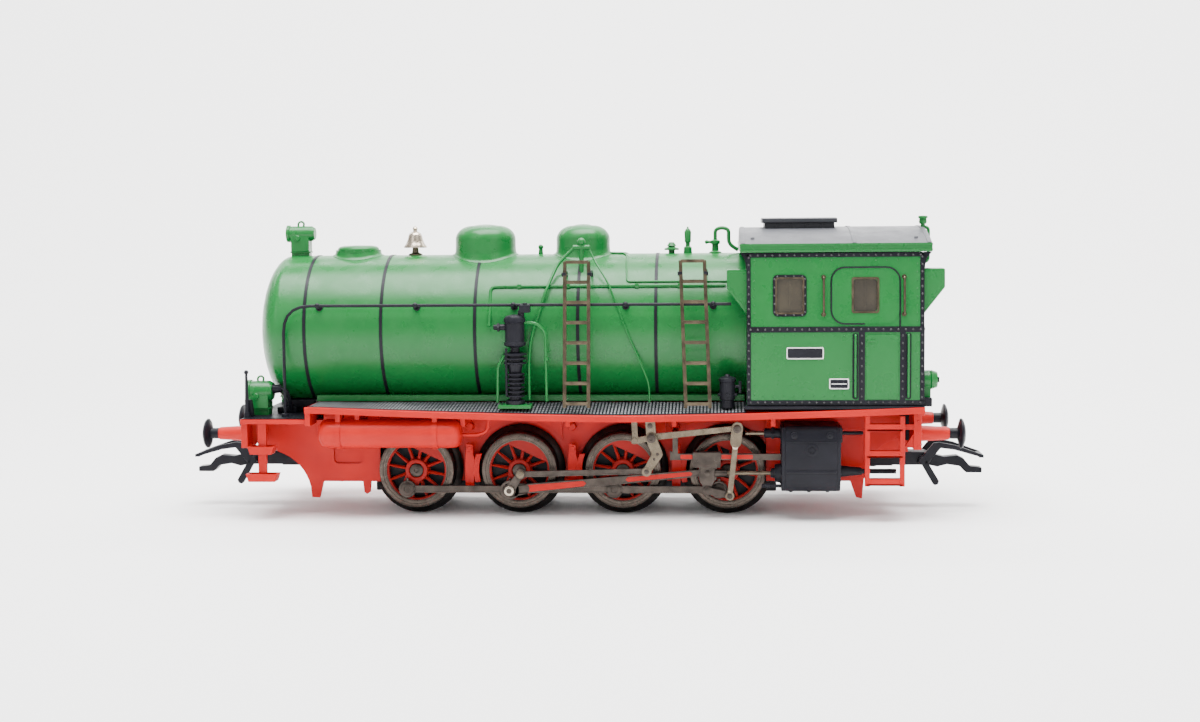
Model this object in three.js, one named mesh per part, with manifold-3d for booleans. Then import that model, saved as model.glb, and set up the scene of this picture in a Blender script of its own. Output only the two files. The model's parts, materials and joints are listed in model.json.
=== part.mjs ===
// H0 (1:87) model of a fireless steam-storage locomotive with eight coupled wheels, in millimetres.
// The origin is on the ground, midway along, across the centre line. +X points to the cab, -Y is
// the left side, +Z is up. The model stands on its wheel flanges.
import * as THREE from "three";
import { mergeVertices } from "three/addons/utils/BufferGeometryUtils.js";
import Module from "manifold-3d";

const wasm = await Module();
wasm.setup();

// ---------- driving dimensions ----------
const FIRST_AXLE_X = -25.3;
const AXLE_PITCH = 16;
const AXLE_X = [0, 1, 2, 3].map((i) => FIRST_AXLE_X + i * AXLE_PITCH);
const AXLE_Z = 6.95;
const FLANGE_R = 6.95;
const TREAD_R = 5.95;
const RIM_INNER_R = 4.65;
const WHEEL_BACK = 7.05;
const WHEEL_FACE = 9.95;
const AXLE_R = 0.95;
const RUNNING_GAP = 0.08;

const CRANK_R = 3.1;
const CRANK_DEG = { left: 245, right: 335 };
const CRANK_PIN_R = 0.52;
const RETURN_PIN = { radius: 0.492, leadDeg: 91.04 };
const MAIN_ROD_LENGTH = 30.43;
const ECCENTRIC_ROD_LENGTH = 19.357;
const LINK_PIVOT = [11.2, 12.35];
const LINK_FOOT = [10.5, 7.26];
const LEVER_PIVOT = [24.16, 13.82];
const LEVER_LENGTH = 10.266;
const UNION_LINK_REACH = 3.3;
const DROP_ARM_Z = 4.29;
const GUIDE_Z = [8.97, 9.94];

// Distances out from the centre line of each layer of the running gear.
const LAYER = {
  couplingRod: [10.3, 10.8],
  pinHead: [10.88, 11.05],
  mainRod: [11.15, 11.65],
  returnCrank: [11.8, 12.2],
  crossheadBody: [11.8, 12.3],
  guideBar: [12.03, 12.62],
  eccentricRod: [12.3, 12.7],
  unionLink: [12.4, 12.8],
  expansionLink: [12.85, 13.25],
  lever: [13.1, 13.5],
};

const TANK_R = 11.7;
const TANK_WALL = 1;
const TANK_Z = 28.3;
const TANK_FRONT_X = -46.4;
const TANK_REAR_X = 25.2;
const TANK_FLAT_Z = 17.62;
const SHELL_SIDES = 32;

const BOARD_X = [-41.2, 51.8];
const BOARD_HALF = 16.2;
const BOARD_TOP = 17.5;
const BOARD_SAG = 1.35;
const BOARD_LOW_X = 7;
const BOARD_FLAT_HALF = 7.6;

const CAB_X = [25.6, 51.7];
const CAB_HALF = 15.2;
const CAB_TOP_HALF = 14.4;
const CAB_WAIST_Z = 28.9;
const CAB_Z = [17.6, 40.2];
const CAB_WALL = 0.9;

const GEAR_MODULE = 0.5;
const AXLE_GEAR_TEETH = 12;
const IDLER_TEETH = 20;
const GEAR_BACKLASH = 0.08;
const GEAR_HALF = 1.2;
const AXLE_GEAR_R = (GEAR_MODULE * AXLE_GEAR_TEETH) / 2;
const IDLER_R = (GEAR_MODULE * IDLER_TEETH) / 2;
const IDLER_Z = AXLE_Z + AXLE_GEAR_R + IDLER_R + GEAR_BACKLASH;
const WORM_R = 1.1;
const SHAFT_Z = IDLER_Z + IDLER_R + 0.4 + WORM_R;

// ---------- materials ----------
function finish(colour, roughness, metalness) {
  return new THREE.MeshStandardMaterial({ color: colour, roughness, metalness, flatShading: true });
}
const GREEN = finish("#3f9a55", 0.45, 0.1);
const RED = finish("#d8392f", 0.45, 0.1);
const BLACK = finish("#2b2c30", 0.55, 0.1);
const ROOF_GREY = finish("#8b8b92", 0.6, 0.1);
const STEEL = finish("#7d746e", 0.4, 0.9);
const ROD_STEEL = finish("#6f6966", 0.45, 0.85);
const NICKEL = finish("#b3a48c", 0.35, 0.9);
const BRIGHT = finish("#d8d2c4", 0.2, 1.0);
const GLAZING = finish("#6a6250", 0.1, 0.0);
const MOTOR_STEEL = finish("#9a9c9f", 0.4, 0.8);
const GEAR_BRASS = finish("#b08d4a", 0.4, 0.8);

// ---------- solids ----------
function toSolid(geometry) {
  const loose = geometry.index ? geometry.toNonIndexed() : geometry;
  const bare = new THREE.BufferGeometry();
  bare.setAttribute("position", loose.getAttribute("position"));
  const merged = mergeVertices(bare, 1e-4);
  const vertProperties = merged.attributes.position.array;
  const triVerts = new Uint32Array(merged.index.array);
  const build = () => new wasm.Manifold(new wasm.Mesh({ numProp: 3, vertProperties, triVerts }));
  let made = build();
  if (made.volume() < 0) {
    for (let i = 0; i < triVerts.length; i += 3) {
      [triVerts[i + 1], triVerts[i + 2]] = [triVerts[i + 2], triVerts[i + 1]];
    }
    made = build();
  }
  return made;
}

const join = (first, ...rest) => rest.reduce((sum, next) => sum.add(next), first);
const cut = (first, ...rest) => rest.reduce((left, tool) => left.subtract(tool), first);

function box(x0, x1, y0, y1, z0, z1) {
  const geometry = new THREE.BoxGeometry(x1 - x0, Math.abs(y1 - y0), z1 - z0);
  return toSolid(geometry.translate((x0 + x1) / 2, (y0 + y1) / 2, (z0 + z1) / 2));
}

// Round bars along each axis, each from one end to the other at the two cross coordinates.
function barX(r, x0, x1, y, z, sides = 12) {
  const geometry = new THREE.CylinderGeometry(r, r, Math.abs(x1 - x0), sides);
  return toSolid(geometry.rotateZ(-Math.PI / 2).translate((x0 + x1) / 2, y, z));
}
function barY(r, y0, y1, x, z, sides = 12) {
  const geometry = new THREE.CylinderGeometry(r, r, Math.abs(y1 - y0), sides);
  return toSolid(geometry.translate(x, (y0 + y1) / 2, z));
}
function barZ(r, z0, z1, x, y, sides = 12) {
  const geometry = new THREE.CylinderGeometry(r, r, Math.abs(z1 - z0), sides);
  return toSolid(geometry.rotateX(Math.PI / 2).translate(x, y, (z0 + z1) / 2));
}

// Turned shapes: the profile is [radius, distance along the axis].
function turned(profile, sides) {
  return new THREE.LatheGeometry(profile.map(([r, h]) => new THREE.Vector2(r, h)), sides);
}
const turnedX = (profile, y, z, sides = 20) =>
  toSolid(turned(profile, sides).rotateZ(-Math.PI / 2).translate(0, y, z));
const turnedY = (profile, x, z, sides = 20) => toSolid(turned(profile, sides).translate(x, 0, z));
const turnedZ = (profile, x, y, sides = 20) =>
  toSolid(turned(profile, sides).rotateX(Math.PI / 2).translate(x, y, 0));

function outlineShape(points, holes) {
  const shape = new THREE.Shape(points.map(([a, b]) => new THREE.Vector2(a, b)));
  for (const hole of holes) {
    shape.holes.push(new THREE.Path(hole.map(([a, b]) => new THREE.Vector2(a, b))));
  }
  return shape;
}
function extruded(points, depth, holes, steps = 1) {
  const options = { depth, steps, bevelEnabled: false };
  return new THREE.ExtrudeGeometry(outlineShape(points, holes), options);
}
// A plate drawn as [x, z] and spanning y0 to y1.
function plateY(points, y0, y1, holes = []) {
  const low = Math.min(y0, y1);
  const geometry = extruded(points, Math.abs(y1 - y0), holes);
  return toSolid(geometry.rotateX(Math.PI / 2).translate(0, low + Math.abs(y1 - y0), 0));
}
// A section drawn as [y, z] and spanning x0 to x1.
function sectionGeometry(points, x0, x1, holes = [], steps = 1) {
  const axes = new THREE.Matrix4();
  axes.makeBasis(new THREE.Vector3(0, 1, 0), new THREE.Vector3(0, 0, 1), new THREE.Vector3(1, 0, 0));
  return extruded(points, x1 - x0, holes, steps).applyMatrix4(axes).translate(x0, 0, 0);
}
const sectionX = (points, x0, x1, holes) => toSolid(sectionGeometry(points, x0, x1, holes));

function tube(points, r, sides, steps) {
  const curve = new THREE.CatmullRomCurve3(points.map((p) => new THREE.Vector3(...p)), false, "centripetal");
  const ring = new THREE.Shape(circle(0, 0, r, sides).map(([a, b]) => new THREE.Vector2(a, b)));
  return toSolid(new THREE.ExtrudeGeometry(ring, { extrudePath: curve, steps }));
}

function circle(a, b, r, sides, startDeg = 0) {
  const points = [];
  for (let i = 0; i < sides; i += 1) {
    const t = THREE.MathUtils.degToRad(startDeg) + (i * 2 * Math.PI) / sides;
    points.push([a + r * Math.cos(t), b + r * Math.sin(t)]);
  }
  return points;
}

const group = new THREE.Group();
function piece(name, solid, material) {
  const { vertProperties, triVerts } = solid.asOriginal().simplify(0.002).getMesh();
  const geometry = new THREE.BufferGeometry();
  geometry.setAttribute("position", new THREE.BufferAttribute(vertProperties, 3));
  geometry.setIndex(new THREE.BufferAttribute(triVerts, 1));
  geometry.computeVertexNormals();
  const mesh = new THREE.Mesh(geometry, material);
  mesh.name = name;
  group.add(mesh);
  return mesh;
}

// ---------- geometry of the running gear ----------
const SIDES = { left: -1, right: 1 };
const polar = (deg, r) => {
  const t = THREE.MathUtils.degToRad(deg);
  return [r * Math.cos(t), r * Math.sin(t)];
};
const crankPin = (side, axle) => {
  const [dx, dz] = polar(CRANK_DEG[side], CRANK_R);
  return [AXLE_X[axle] + dx, AXLE_Z + dz];
};
const returnPin = (side) => {
  const [dx, dz] = polar(CRANK_DEG[side] + RETURN_PIN.leadDeg, RETURN_PIN.radius);
  return [AXLE_X[1] + dx, AXLE_Z + dz];
};
const crossheadPin = (side) => {
  const [x, z] = crankPin(side, 1);
  return [x + Math.sqrt(MAIN_ROD_LENGTH ** 2 - (z - AXLE_Z) ** 2), AXLE_Z];
};
// The meeting point, on the low side, of a circle about a and a circle about b.
function circlesMeet(a, ra, b, rb) {
  const d = Math.hypot(b[0] - a[0], b[1] - a[1]);
  const along = (ra ** 2 - rb ** 2 + d ** 2) / (2 * d);
  const out = Math.sqrt(ra ** 2 - along ** 2);
  const [ux, uz] = [(b[0] - a[0]) / d, (b[1] - a[1]) / d];
  return [a[0] + ux * along + uz * out, a[1] + uz * along - ux * out];
}
const linkLength = Math.hypot(LINK_FOOT[0] - LINK_PIVOT[0], LINK_FOOT[1] - LINK_PIVOT[1]);
const linkFoot = (side) => circlesMeet(returnPin(side), ECCENTRIC_ROD_LENGTH, LINK_PIVOT, linkLength);
const leverFoot = (side) => {
  const x = crossheadPin(side)[0] + UNION_LINK_REACH;
  return [x, LEVER_PIVOT[1] - Math.sqrt(LEVER_LENGTH ** 2 - (x - LEVER_PIVOT[0]) ** 2)];
};

// A flat bar between two points, half as wide at each end as the two half widths say.
function flatLink(a, b, halfA, halfB, side, layer) {
  const d = Math.hypot(b[0] - a[0], b[1] - a[1]);
  const [nx, nz] = [-(b[1] - a[1]) / d, (b[0] - a[0]) / d];
  const outline = [
    [a[0] - nx * halfA, a[1] - nz * halfA],
    [b[0] - nx * halfB, b[1] - nz * halfB],
    [b[0] + nx * halfB, b[1] + nz * halfB],
    [a[0] + nx * halfA, a[1] + nz * halfA],
  ];
  return plateY(outline, SIDES[side] * layer[0], SIDES[side] * layer[1]);
}
const disc = (r, at, side, layer, sides = 10) =>
  barY(r, SIDES[side] * layer[0], SIDES[side] * layer[1], at[0], at[1], sides);

// ---------- wheels, axles and gears ----------
function gearOutline(teeth, pitchR, x, z, startDeg) {
  const points = [];
  const pitchDeg = 360 / teeth;
  for (let i = 0; i < teeth; i += 1) {
    const middle = startDeg + i * pitchDeg;
    const [tip, root] = [0.8 * GEAR_MODULE, -1.1 * GEAR_MODULE];
    for (const [offset, r] of [[-0.27, root], [-0.12, tip], [0.12, tip], [0.27, root]]) {
      const [dx, dz] = polar(middle + offset * pitchDeg, pitchR + r);
      points.push([x + dx, z + dz]);
    }
  }
  return points;
}

const SPOKES = 12;
const WEIGHT_CHORD = 2.95;
const HUB_R = 1.85;
// The openings between the spokes, shortened where the balance weight fills the rim.
function spokeOpenings(x, weightDeg) {
  const openings = [];
  const pitchDeg = 360 / SPOKES;
  for (let i = 0; i < SPOKES; i += 1) {
    const middle = weightDeg + (i + 0.5) * pitchDeg;
    const corner = (deg, r) => polar(deg, r).map((d, k) => d + [x, AXLE_Z][k]);
    const outer = (deg) => {
      const toWeight = Math.cos(THREE.MathUtils.degToRad(deg - weightDeg));
      return Math.min(RIM_INNER_R - 0.1, toWeight > 0.5 ? WEIGHT_CHORD / toWeight : RIM_INNER_R);
    };
    const [inner, wide] = [pitchDeg * 0.34, pitchDeg * 0.43];
    openings.push([
      corner(middle - inner, HUB_R + 0.2),
      corner(middle - wide, outer(middle - wide)),
      corner(middle + wide, outer(middle + wide)),
      corner(middle + inner, HUB_R + 0.2),
    ]);
  }
  return openings;
}

function wheel(side, axle) {
  const s = SIDES[side];
  const x = AXLE_X[axle];
  const tyre = turnedY(
    [
      [RIM_INNER_R, s * WHEEL_BACK],
      [FLANGE_R, s * WHEEL_BACK],
      [FLANGE_R, s * (WHEEL_BACK + 0.45)],
      [TREAD_R, s * (WHEEL_BACK + 0.8)],
      [TREAD_R - 0.15, s * WHEEL_FACE],
      [RIM_INNER_R, s * WHEEL_FACE],
      [RIM_INNER_R, s * WHEEL_BACK],
    ],
    x,
    AXLE_Z,
  );
  const webLayer = [WHEEL_BACK + 0.9, WHEEL_FACE - 0.3];
  const web = plateY(
    circle(x, AXLE_Z, RIM_INNER_R + 0.1, 20, 90),
    s * webLayer[0],
    s * webLayer[1],
    spokeOpenings(x, CRANK_DEG[side] + 180),
  );
  const hub = disc(HUB_R, [x, AXLE_Z], side, [WHEEL_BACK, 10.05], 10);
  const bore = disc(AXLE_R + 0.1, [x, AXLE_Z], side, [WHEEL_BACK - 1, 11], 8);
  const pin = crankPin(side, axle);
  const boss = disc(1.05, pin, side, [webLayer[0], 10.12], 8);
  const pinEnd = axle === 1 ? LAYER.mainRod[1] + 0.1 : LAYER.pinHead[1];
  const parts = [web, hub, boss, disc(CRANK_PIN_R, pin, side, [9, pinEnd], 8)];
  if (axle !== 1) parts.push(disc(0.9, pin, side, LAYER.pinHead, 8));
  return cut(join(tyre, ...parts), bore);
}

for (const axle of [0, 1, 2, 3]) {
  const shaft = barY(AXLE_R, -10.1, 10.1, AXLE_X[axle], AXLE_Z, 8);
  const gear = plateY(
    gearOutline(AXLE_GEAR_TEETH, AXLE_GEAR_R, AXLE_X[axle], AXLE_Z, 90),
    -GEAR_HALF,
    GEAR_HALF,
  );
  piece(`axle_${axle + 1}`, axle === 1 ? join(shaft, gear) : shaft, STEEL);
  for (const side of ["left", "right"]) piece(`wheel_${axle + 1}_${side}`, wheel(side, axle), STEEL);
}

function idlerGear() {
  const x = AXLE_X[1];
  const gapDown = 270 + 180 / IDLER_TEETH;
  const gear = plateY(gearOutline(IDLER_TEETH, IDLER_R, x, IDLER_Z, gapDown), -GEAR_HALF, GEAR_HALF);
  return join(gear, barY(0.6, -3.4, 3.4, x, IDLER_Z, 10));
}
piece("idler_gear", idlerGear(), GEAR_BRASS);

const MOTOR_X = [1.5, 18.5];
const BEARING_X = [-17.6, -16.6];
function motor() {
  const can = box(...MOTOR_X, -5.4, 5.4, SHAFT_Z - 3.9, SHAFT_Z + 3.9);
  const rails = [-1, 1].map((s) =>
    box(BEARING_X[0], MOTOR_X[0] + 0.2, s * 2.5, s * 3.4, SHAFT_Z - 0.8, SHAFT_Z + 0.8));
  const bearing = box(...BEARING_X, -3.3, 3.3, SHAFT_Z - 1.4, SHAFT_Z + 1.4);
  const brushCap = barX(3, MOTOR_X[1], MOTOR_X[1] + 1, 0, SHAFT_Z);
  return cut(join(can, ...rails, bearing, brushCap), barX(0.5 + RUNNING_GAP, -20, 22, 0, SHAFT_Z));
}
piece("motor", motor(), MOTOR_STEEL);

function motorShaft() {
  const shaft = barX(0.5, BEARING_X[0], 24, 0, SHAFT_Z);
  const worm = barX(WORM_R, AXLE_X[1] - 3, AXLE_X[1] + 3, 0, SHAFT_Z);
  return join(shaft, worm, barX(3.5, 20.6, 23.4, 0, SHAFT_Z, 16));
}
piece("motor_shaft", motorShaft(), GEAR_BRASS);

// ---------- rods and valve gear ----------
function couplingRod(side) {
  const pins = [0, 1, 2, 3].map((axle) => crankPin(side, axle));
  const parts = pins.map((pin) => disc(1.1, pin, side, LAYER.couplingRod, 8));
  const bar = flatLink(pins[0], pins[3], 0.52, 0.52, side, LAYER.couplingRod);
  const holes = pins.map((pin) => disc(CRANK_PIN_R + RUNNING_GAP, pin, side, [10, 11], 8));
  return cut(join(bar, ...parts), ...holes);
}

function mainRod(side) {
  const [big, small] = [crankPin(side, 1), crossheadPin(side)];
  const bar = flatLink(big, small, 0.72, 0.5, side, LAYER.mainRod);
  const ends = [disc(1.3, big, side, LAYER.mainRod, 8), disc(0.8, small, side, LAYER.mainRod)];
  return cut(join(bar, ...ends), disc(CRANK_PIN_R + RUNNING_GAP, big, side, [11, 12], 8));
}

function returnCrank(side) {
  const [from, to] = [crankPin(side, 1), returnPin(side)];
  const arm = flatLink(from, to, 0.8, 0.6, side, LAYER.returnCrank);
  const ends = [disc(1.05, from, side, LAYER.returnCrank), disc(0.75, to, side, LAYER.returnCrank)];
  const pin = disc(0.35, to, side, [12.1, 12.82], 10);
  return join(arm, ...ends, pin, disc(0.6, to, side, [12.78, 12.95], 10));
}

function eccentricRod(side) {
  const [from, to] = [returnPin(side), linkFoot(side)];
  const bar = flatLink(from, to, 0.42, 0.42, side, LAYER.eccentricRod);
  const ends = [disc(0.8, from, side, LAYER.eccentricRod), disc(0.75, to, side, LAYER.eccentricRod)];
  return cut(join(bar, ...ends), disc(0.35 + RUNNING_GAP, from, side, [12, 13], 10));
}

// The link is a knee-shaped plate: pivot, knee and foot.
function expansionLink(side) {
  const foot = linkFoot(side);
  const turn = Math.atan2(foot[1] - LINK_PIVOT[1], foot[0] - LINK_PIVOT[0])
    - Math.atan2(LINK_FOOT[1] - LINK_PIVOT[1], LINK_FOOT[0] - LINK_PIVOT[0]);
  const place = ([x, z]) => {
    const [dx, dz] = [x - LINK_PIVOT[0], z - LINK_PIVOT[1]];
    const [c, s] = [Math.cos(turn), Math.sin(turn)];
    return [LINK_PIVOT[0] + c * dx - s * dz, LINK_PIVOT[1] + s * dx + c * dz];
  };
  const upper = flatLink(LINK_PIVOT, place([12.15, 9.9]), 0.75, 0.8, side, LAYER.expansionLink);
  const lower = flatLink(place([12.3, 10.2]), foot, 0.72, 0.55, side, LAYER.expansionLink);
  const ends = [
    disc(0.85, LINK_PIVOT, side, LAYER.expansionLink),
    disc(0.8, place([12.15, 10]), side, LAYER.expansionLink),
    disc(0.72, foot, side, LAYER.expansionLink),
  ];
  return cut(join(upper, lower, ...ends), disc(0.48, LINK_PIVOT, side, [12, 14], 10));
}

function combinationLever(side) {
  const foot = leverFoot(side);
  const toward = (t) => LEVER_PIVOT.map((v, k) => v + (foot[k] - v) * t);
  const head = flatLink(toward(-0.07), toward(0.19), 0.85, 0.85, side, LAYER.lever);
  const stem = flatLink(toward(0.15), foot, 0.4, 0.38, side, LAYER.lever);
  const boss = disc(0.72, foot, side, LAYER.lever);
  return cut(join(head, stem, boss), disc(0.48, LEVER_PIVOT, side, [12, 14], 10));
}

const PISTON_Y = 12.05;
function crosshead(side) {
  const s = SIDES[side];
  const [x] = crossheadPin(side);
  const slipper = cut(
    box(x - 2.2, x + 2, s * 11.8, s * 13, 7.87, 10.23),
    box(x - 3, x + 3, s * 11.95, s * 12.7, GUIDE_Z[0] - 0.08, GUIDE_Z[1] + 0.08),
  );
  const bodyOutline = [
    [x - 1.3, 8], [x - 1.3, 6], [x - 0.7, 5.2], [x - 0.65, DROP_ARM_Z],
    [x + 0.65, DROP_ARM_Z], [x + 0.7, 5.4], [x + 1.4, 6], [x + 1.4, 8],
  ];
  const body = plateY(bodyOutline, s * LAYER.crossheadBody[0], s * LAYER.crossheadBody[1]);
  const socket = barX(0.6, x + 1.2, x + 3, s * (PISTON_Y + 0.3), AXLE_Z);
  const rod = barX(0.35, x + 1.2, x + 13.6, s * PISTON_Y, AXLE_Z, 10);
  const drop = [x, DROP_ARM_Z];
  const link = flatLink(drop, leverFoot(side), 0.55, 0.5, side, LAYER.unionLink);
  const ends = [
    disc(0.7, drop, side, [11.8, 12.85]),
    disc(0.62, leverFoot(side), side, LAYER.unionLink),
  ];
  return join(slipper, body, socket, rod, link, ...ends);
}

// Guide bar, link bracket and radius rod: one fixed etched frame outside the wheels.
function motionBracket(side) {
  const s = SIDES[side];
  const outer = LAYER.eccentricRod;
  const guide = box(14.4, 30.9, s * LAYER.guideBar[0], s * LAYER.guideBar[1], ...GUIDE_Z);
  const strap = box(14.4, 15.2, s * 12.3, s * 12.6, GUIDE_Z[1] - 0.1, 12.95);
  const rearHanger = flatLink([8.55, 15.7], [8.75, 12], 0.42, 0.45, side, outer);
  const foot = flatLink([8.5, 12.1], LINK_PIVOT, 0.5, 0.42, side, outer);
  const frontHanger = flatLink([10.95, 15.7], LINK_PIVOT, 0.72, 0.75, side, outer);
  const radiusRod = flatLink([11, 12.4], LEVER_PIVOT, 0.48, 0.4, side, outer);
  const rodEye = disc(0.6, LEVER_PIVOT, side, outer);
  const pins = [LINK_PIVOT, LEVER_PIVOT].map((at) => disc(0.4, at, side, [12.6, 13.62], 10));
  const heads = [
    disc(0.7, LINK_PIVOT, side, [13.33, 13.5]),
    disc(0.62, LEVER_PIVOT, side, [13.58, 13.75]),
  ];
  return join(guide, strap, rearHanger, foot, frontHanger, radiusRod, rodEye, ...pins, ...heads);
}

const CYLINDER_X = [31.3, 39];
function cylinder(side) {
  const s = SIDES[side];
  const section = [
    [8.9, 4.6], [13.8, 4.2], [15.4, 5.6], [16, 7.2], [16, 12.2], [15.7, 13.9], [14.8, 14.5], [8.9, 14.5],
  ].map(([y, z]) => [s * y, z]);
  const block = sectionX(section, ...CYLINDER_X);
  const chest = box(30.6, 39.8, s * 10.6, s * 15.2, 11.7, 14.35);
  const frontCover = barX(1.55, 29.7, 31.5, s * PISTON_Y, AXLE_Z);
  const gland = barX(0.72, 28.2, 31, s * 12.5, 13.1);
  const valveRod = barX(0.35, 25.2, 28.6, s * 12.5, 13.1, 8);
  const valveTail = barX(0.3, 39.5, 43, s * 12.5, 13.1, 6);
  const tailGuide = barX(0.95, 38.8, 42.9, s * PISTON_Y, AXLE_Z + 0.3);
  const tailRod = barX(0.4, 42.7, 48, s * PISTON_Y, AXLE_Z + 0.3, 8);
  const drain = barX(0.35, 27.8, 31.5, s * 13.4, 5.2, 6);
  const bore = barX(0.35 + RUNNING_GAP + 0.02, 29, 38.2, s * PISTON_Y, AXLE_Z, 10);
  const parts = [chest, frontCover, gland, valveRod, valveTail, tailGuide, tailRod, drain];
  return cut(join(block, ...parts), bore);
}

for (const side of ["left", "right"]) {
  piece(`coupling_rod_${side}`, couplingRod(side), ROD_STEEL);
  piece(`main_rod_${side}`, mainRod(side), ROD_STEEL);
  piece(`return_crank_${side}`, returnCrank(side), ROD_STEEL);
  piece(`eccentric_rod_${side}`, eccentricRod(side), ROD_STEEL);
  piece(`expansion_link_${side}`, expansionLink(side), NICKEL);
  piece(`combination_lever_${side}`, combinationLever(side), NICKEL);
  piece(`crosshead_${side}`, crosshead(side), ROD_STEEL);
  piece(`motion_bracket_${side}`, motionBracket(side), NICKEL);
  piece(`cylinder_${side}`, cylinder(side), BLACK);
}

// ---------- frame and decks ----------
const FRAME_TOP = 16.6;
const FRAME_HALF = 6.6;
const FRAME_WIDE = 8.5;
const KEEL_Z = 2.9;
const COUPLER_PIVOT_X = 45.5;
function chassisFrame() {
  const nose = plateY(
    [
      [-49.9, 14.5], [-49.9, 11.2], [-48, 10.2], [-44, 9.95], [-42.9, 9.2], [-42.1, 8], [-41.7, 6.4],
      [-41.7, 2.4], [-40.8, 2.4], [-40.1, 4.8], [-33.9, 4.8], [-33.7, 3.1], [-32.9, 3.1],
      [-32.6, 4.8], [-32.6, FRAME_TOP], [-40, FRAME_TOP], [-40, 14.5],
    ],
    -FRAME_WIDE,
    FRAME_WIDE,
  );
  const tail = plateY(
    [
      [30.1, FRAME_TOP], [30.1, 5], [41.6, 5], [42.5, 2.5], [43.4, 2.5], [43.5, 6],
      [44.2, 8.3], [45.8, 9.7], [49.9, 10.2], [49.9, FRAME_TOP],
    ],
    -FRAME_WIDE,
    FRAME_WIDE,
  );
  const spine = box(-33, 30.5, -FRAME_HALF, FRAME_HALF, 4.8, FRAME_TOP);
  const keel = box(-32.8, 30.3, -4, 4, KEEL_Z, 5);
  const parts = [nose, tail, spine, keel];
  for (const axle of [1, 2, 3]) {
    const x = AXLE_X[axle] - TREAD_R - 2.6;
    parts.push(box(x, x + 1.5, -9.2, 9.2, 4.4, 11));
    for (const s of [-1, 1]) parts.push(box(x + 1.3, x + 2.35, s * 8.05, s * 9.2, 5, 9.4));
  }
  parts.push(barZ(0.6, 6.3, 10.5, -COUPLER_PIVOT_X, 0), barZ(0.6, 6.3, 10.5, COUPLER_PIVOT_X, 0));
  const bores = AXLE_X.map((x) => barY(AXLE_R + RUNNING_GAP, -9, 9, x, AXLE_Z, 10));
  const x = AXLE_X[1];
  const gearSlot = box(x - 3.7, x + 3.7, -1.5, 1.5, KEEL_Z + 0.4, 17);
  const idlerSlot = box(x - 5.9, x + 5.9, -1.5, 1.5, IDLER_Z - IDLER_R - 0.6, 17);
  const idlerBore = barY(0.6 + RUNNING_GAP, -3.6, 3.6, x, IDLER_Z, 10);
  const couplerRoom = box(43, 50, -4.5, 4.5, 5, 9.5).subtract(barZ(0.6, 4, 10, COUPLER_PIVOT_X, 0));
  return cut(join(...parts), ...bores, gearSlot, idlerSlot, idlerBore, couplerRoom);
}
piece("chassis_frame", chassisFrame(), RED);

// How far the running board hangs below its flat middle at a place.
function boardSag(x, y) {
  const reach = (Math.abs(y) - BOARD_FLAT_HALF) / (BOARD_HALF - BOARD_FLAT_HALF);
  const along = Math.abs(x - BOARD_LOW_X) / (BOARD_X[1] - BOARD_LOW_X + 2.2);
  return BOARD_SAG * Math.max(0, reach) * Math.max(0, 1 - along ** 1.5);
}
function runningBoard() {
  const [half, lip] = [BOARD_HALF, BOARD_HALF - 0.7];
  const [top, under, low] = [BOARD_TOP, BOARD_TOP - 0.7, BOARD_TOP - 1.15];
  const section = [
    [-half, low], [-lip, low], [-lip, under], [-BOARD_FLAT_HALF, under], [BOARD_FLAT_HALF, under],
    [lip, under], [lip, low], [half, low], [half, top], [BOARD_FLAT_HALF, top],
    [-BOARD_FLAT_HALF, top], [-half, top],
  ];
  const geometry = sectionGeometry(section, ...BOARD_X, [], 12);
  const place = geometry.getAttribute("position");
  for (let i = 0; i < place.count; i += 1) {
    place.setZ(i, place.getZ(i) - boardSag(place.getX(i), place.getY(i)));
  }
  const gearSlot = box(AXLE_X[1] - 5.9, AXLE_X[1] + 5.9, -1.5, 1.5, 15, 19);
  return cut(toSolid(geometry), gearSlot);
}
piece("running_board", runningBoard(), RED);

const BUFFER_Y = 10.05;
const BUFFER_Z = 12.75;
function stepTread(xMid, half, y, z0, z1) {
  const outline = [
    [xMid - half + 0.4, z0], [xMid + half - 0.4, z0], [xMid + half, z1], [xMid - half, z1],
  ];
  return plateY(outline, y - 1.1, y + 1.1);
}
function frontBeam() {
  const deck = box(-51.3, -41.5, -15.5, 15.5, 14.75, 15.65);
  const beam = box(-51.3, -50.2, -15.1, 15.1, 11.1, 14.9);
  const parts = [beam];
  for (const s of [-1, 1]) {
    const y = s * 14.9;
    parts.push(box(-48.7, -47.4, y - 0.35, y + 0.35, 6.6, 14.9));
    parts.push(stepTread(-48.1, 2.05, y, 10.2, 11.4), stepTread(-48.05, 2.45, y, 6, 7.2));
    const sleeve = [[0, -51.1], [1.25, -51.1], [0.98, -56], [0, -56]];
    parts.push(turnedX(sleeve, s * BUFFER_Y, BUFFER_Z, 16));
  }
  return join(deck, ...parts);
}
piece("front_beam", frontBeam(), RED);

function rearBeam() {
  const beam = box(50.2, 51.5, -15.1, 15.1, 10.9, 16.1);
  const parts = [];
  for (const s of [-1, 1]) {
    const y = [s * 15.2, s * 15.9];
    for (const x of [43.4, 48.55]) parts.push(box(x - 0.37, x + 0.37, ...y, 5.5, 15.9));
    for (const z of [5.6, 9.8, 13.8]) parts.push(box(43.2, 48.7, s * 14.4, s * 15.9, z, z + 1));
    parts.push(box(48.3, 51, s * 14.4, s * 15.05, 13.9, 14.8));
    const sleeve = [[0, 51.3], [1.25, 51.3], [0.98, 56.1], [0, 56.1]];
    parts.push(turnedX(sleeve, s * BUFFER_Y, BUFFER_Z, 16));
  }
  return join(beam, ...parts);
}
piece("rear_beam", rearBeam(), RED);

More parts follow.
